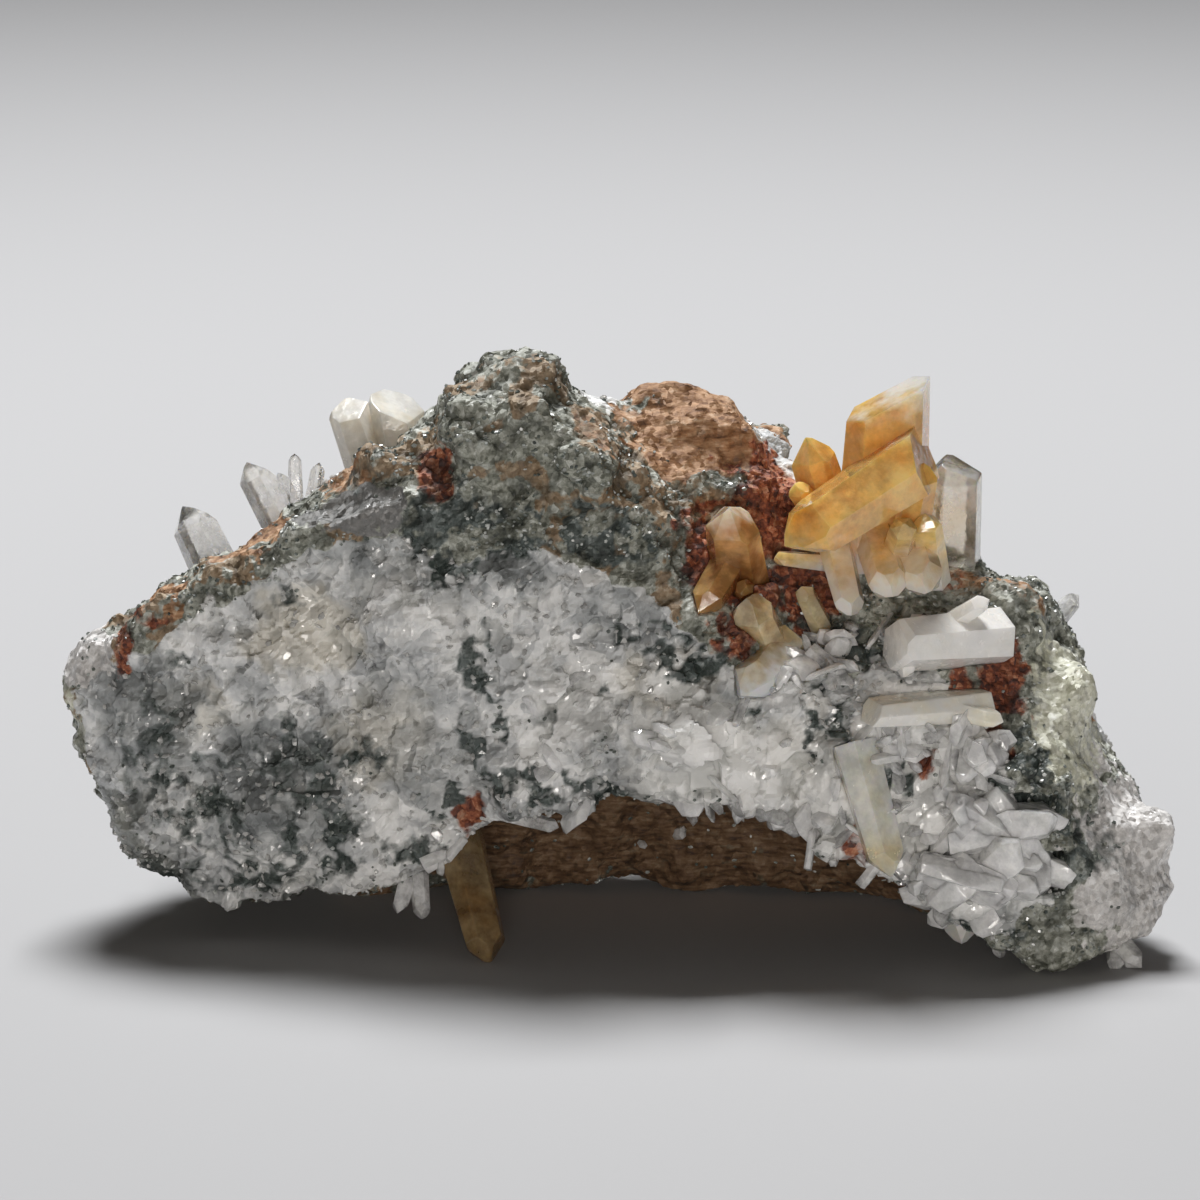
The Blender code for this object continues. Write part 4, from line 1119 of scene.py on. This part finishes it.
for name, values in scattered.items():
    print(name)
    shape = shapeObject(name + "Shape", values["shape"])
    shape.data.transform(Matrix.Scale(mm, 4))
    tree = scatterTree(name, values["finish"])
    piece = scatter(wholeRock, name, tree, {**values, "Shape": shape, "Mask": name + "Mask"})
    bpy.data.objects.remove(shape, do_unlink=True)
    print(name, "triangles", sum(len(face.vertices) - 2 for face in piece.data.polygons))
    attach(piece, "root")

schistLook = stoneMaterial("chloriteSchist", stoneLooks["schist"])
veinLook = stoneMaterial("veinQuartz", stoneLooks["vein"])
for piece in splitRock(wholeRock):
    dressStone(piece, schistLook, veinLook)
    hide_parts("matrix_rock")
    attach(piece, "root")
    print(piece.name, "triangles", 2 * len(piece.data.polygons))

print("crystals")
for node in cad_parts:
    if node != "matrix_rock":
        makeCrystal(node)

# Floor, light and camera

studio = {     # metres and watts
    "floor": (0.45, 0.45, 0.455),
    "floorReach": 3.0,
    "aim": (0.0, 0.02, 0.02),
    "world": (1.0, 0.80, 0.62),
    "worldStrength": 0.018,
    "overhead": {"place": (-0.06, 0.52, 1.2), "size": 0.46, "power": 25.0, "colour": (0.985, 0.99, 1.0)},
    "front": {"place": (0.02, -1.2, 0.145), "size": 0.28, "power": 4.9, "colour": (1.0, 0.95, 0.90)},
}


def makeFloor():
    bm = bmesh.new()
    bmesh.ops.create_grid(bm, x_segments=1, y_segments=1, size=studio["floorReach"])
    mesh = bpy.data.meshes.new("paperFloor")
    bm.to_mesh(mesh)
    bm.free()
    floor = addPiece("paperFloor", mesh)
    material, tree, shader = freshMaterial("palePaper")
    shader.inputs["Base Color"].default_value = (*studio["floor"], 1.0)
    shader.inputs["Roughness"].default_value = 0.7
    floor.data.materials.append(material)


def makeLight(name, look):
    lamp = bpy.data.lights.new(name, "AREA")
    lamp.shape = "SQUARE"
    lamp.size = look["size"]
    lamp.energy = look["power"]
    lamp.color = look["colour"]
    holder = bpy.data.objects.new(name, lamp)
    bpy.context.scene.collection.objects.link(holder)
    holder.location = look["place"]
    aim = Vector(studio["aim"]) - holder.location
    holder.rotation_euler = aim.to_track_quat("-Z", "Y").to_euler()


def makeWorld():
    world = bpy.data.worlds.new("softTent")
    bpy.context.scene.world = world
    world.use_nodes = True
    back = world.node_tree.nodes["Background"]
    back.inputs["Color"].default_value = (*studio["world"], 1.0)
    back.inputs["Strength"].default_value = studio["worldStrength"]


view = {     # in mm and degrees
    "target": (-2.4, 0.0, 42.5),
    "distance": 650.0,
    "elevation": 12.0,
    "frameWidth": 138.25,
    "sensor": 36.0,
}


def makeCamera():
    camera = bpy.data.cameras.new("photoCamera")
    holder = bpy.data.objects.new("photoCamera", camera)
    bpy.context.scene.collection.objects.link(holder)
    tilt = math.radians(view["elevation"])
    back = Vector((0.0, -math.cos(tilt), math.sin(tilt))) * view["distance"] * mm
    holder.location = inFrame(view["target"]) + back
    holder.rotation_euler = (math.pi / 2.0 - tilt, 0.0, 0.0)
    camera.sensor_width = view["sensor"]
    camera.lens = view["sensor"] * view["distance"] / view["frameWidth"]
    camera.clip_start = 0.01
    bpy.context.scene.camera = holder


print("studio")
makeFloor()
makeWorld()
makeLight("overheadSoftbox", studio["overhead"])
makeLight("frontSoftbox", studio["front"])
makeCamera()
bpy.context.scene.view_settings.view_transform = "Standard"
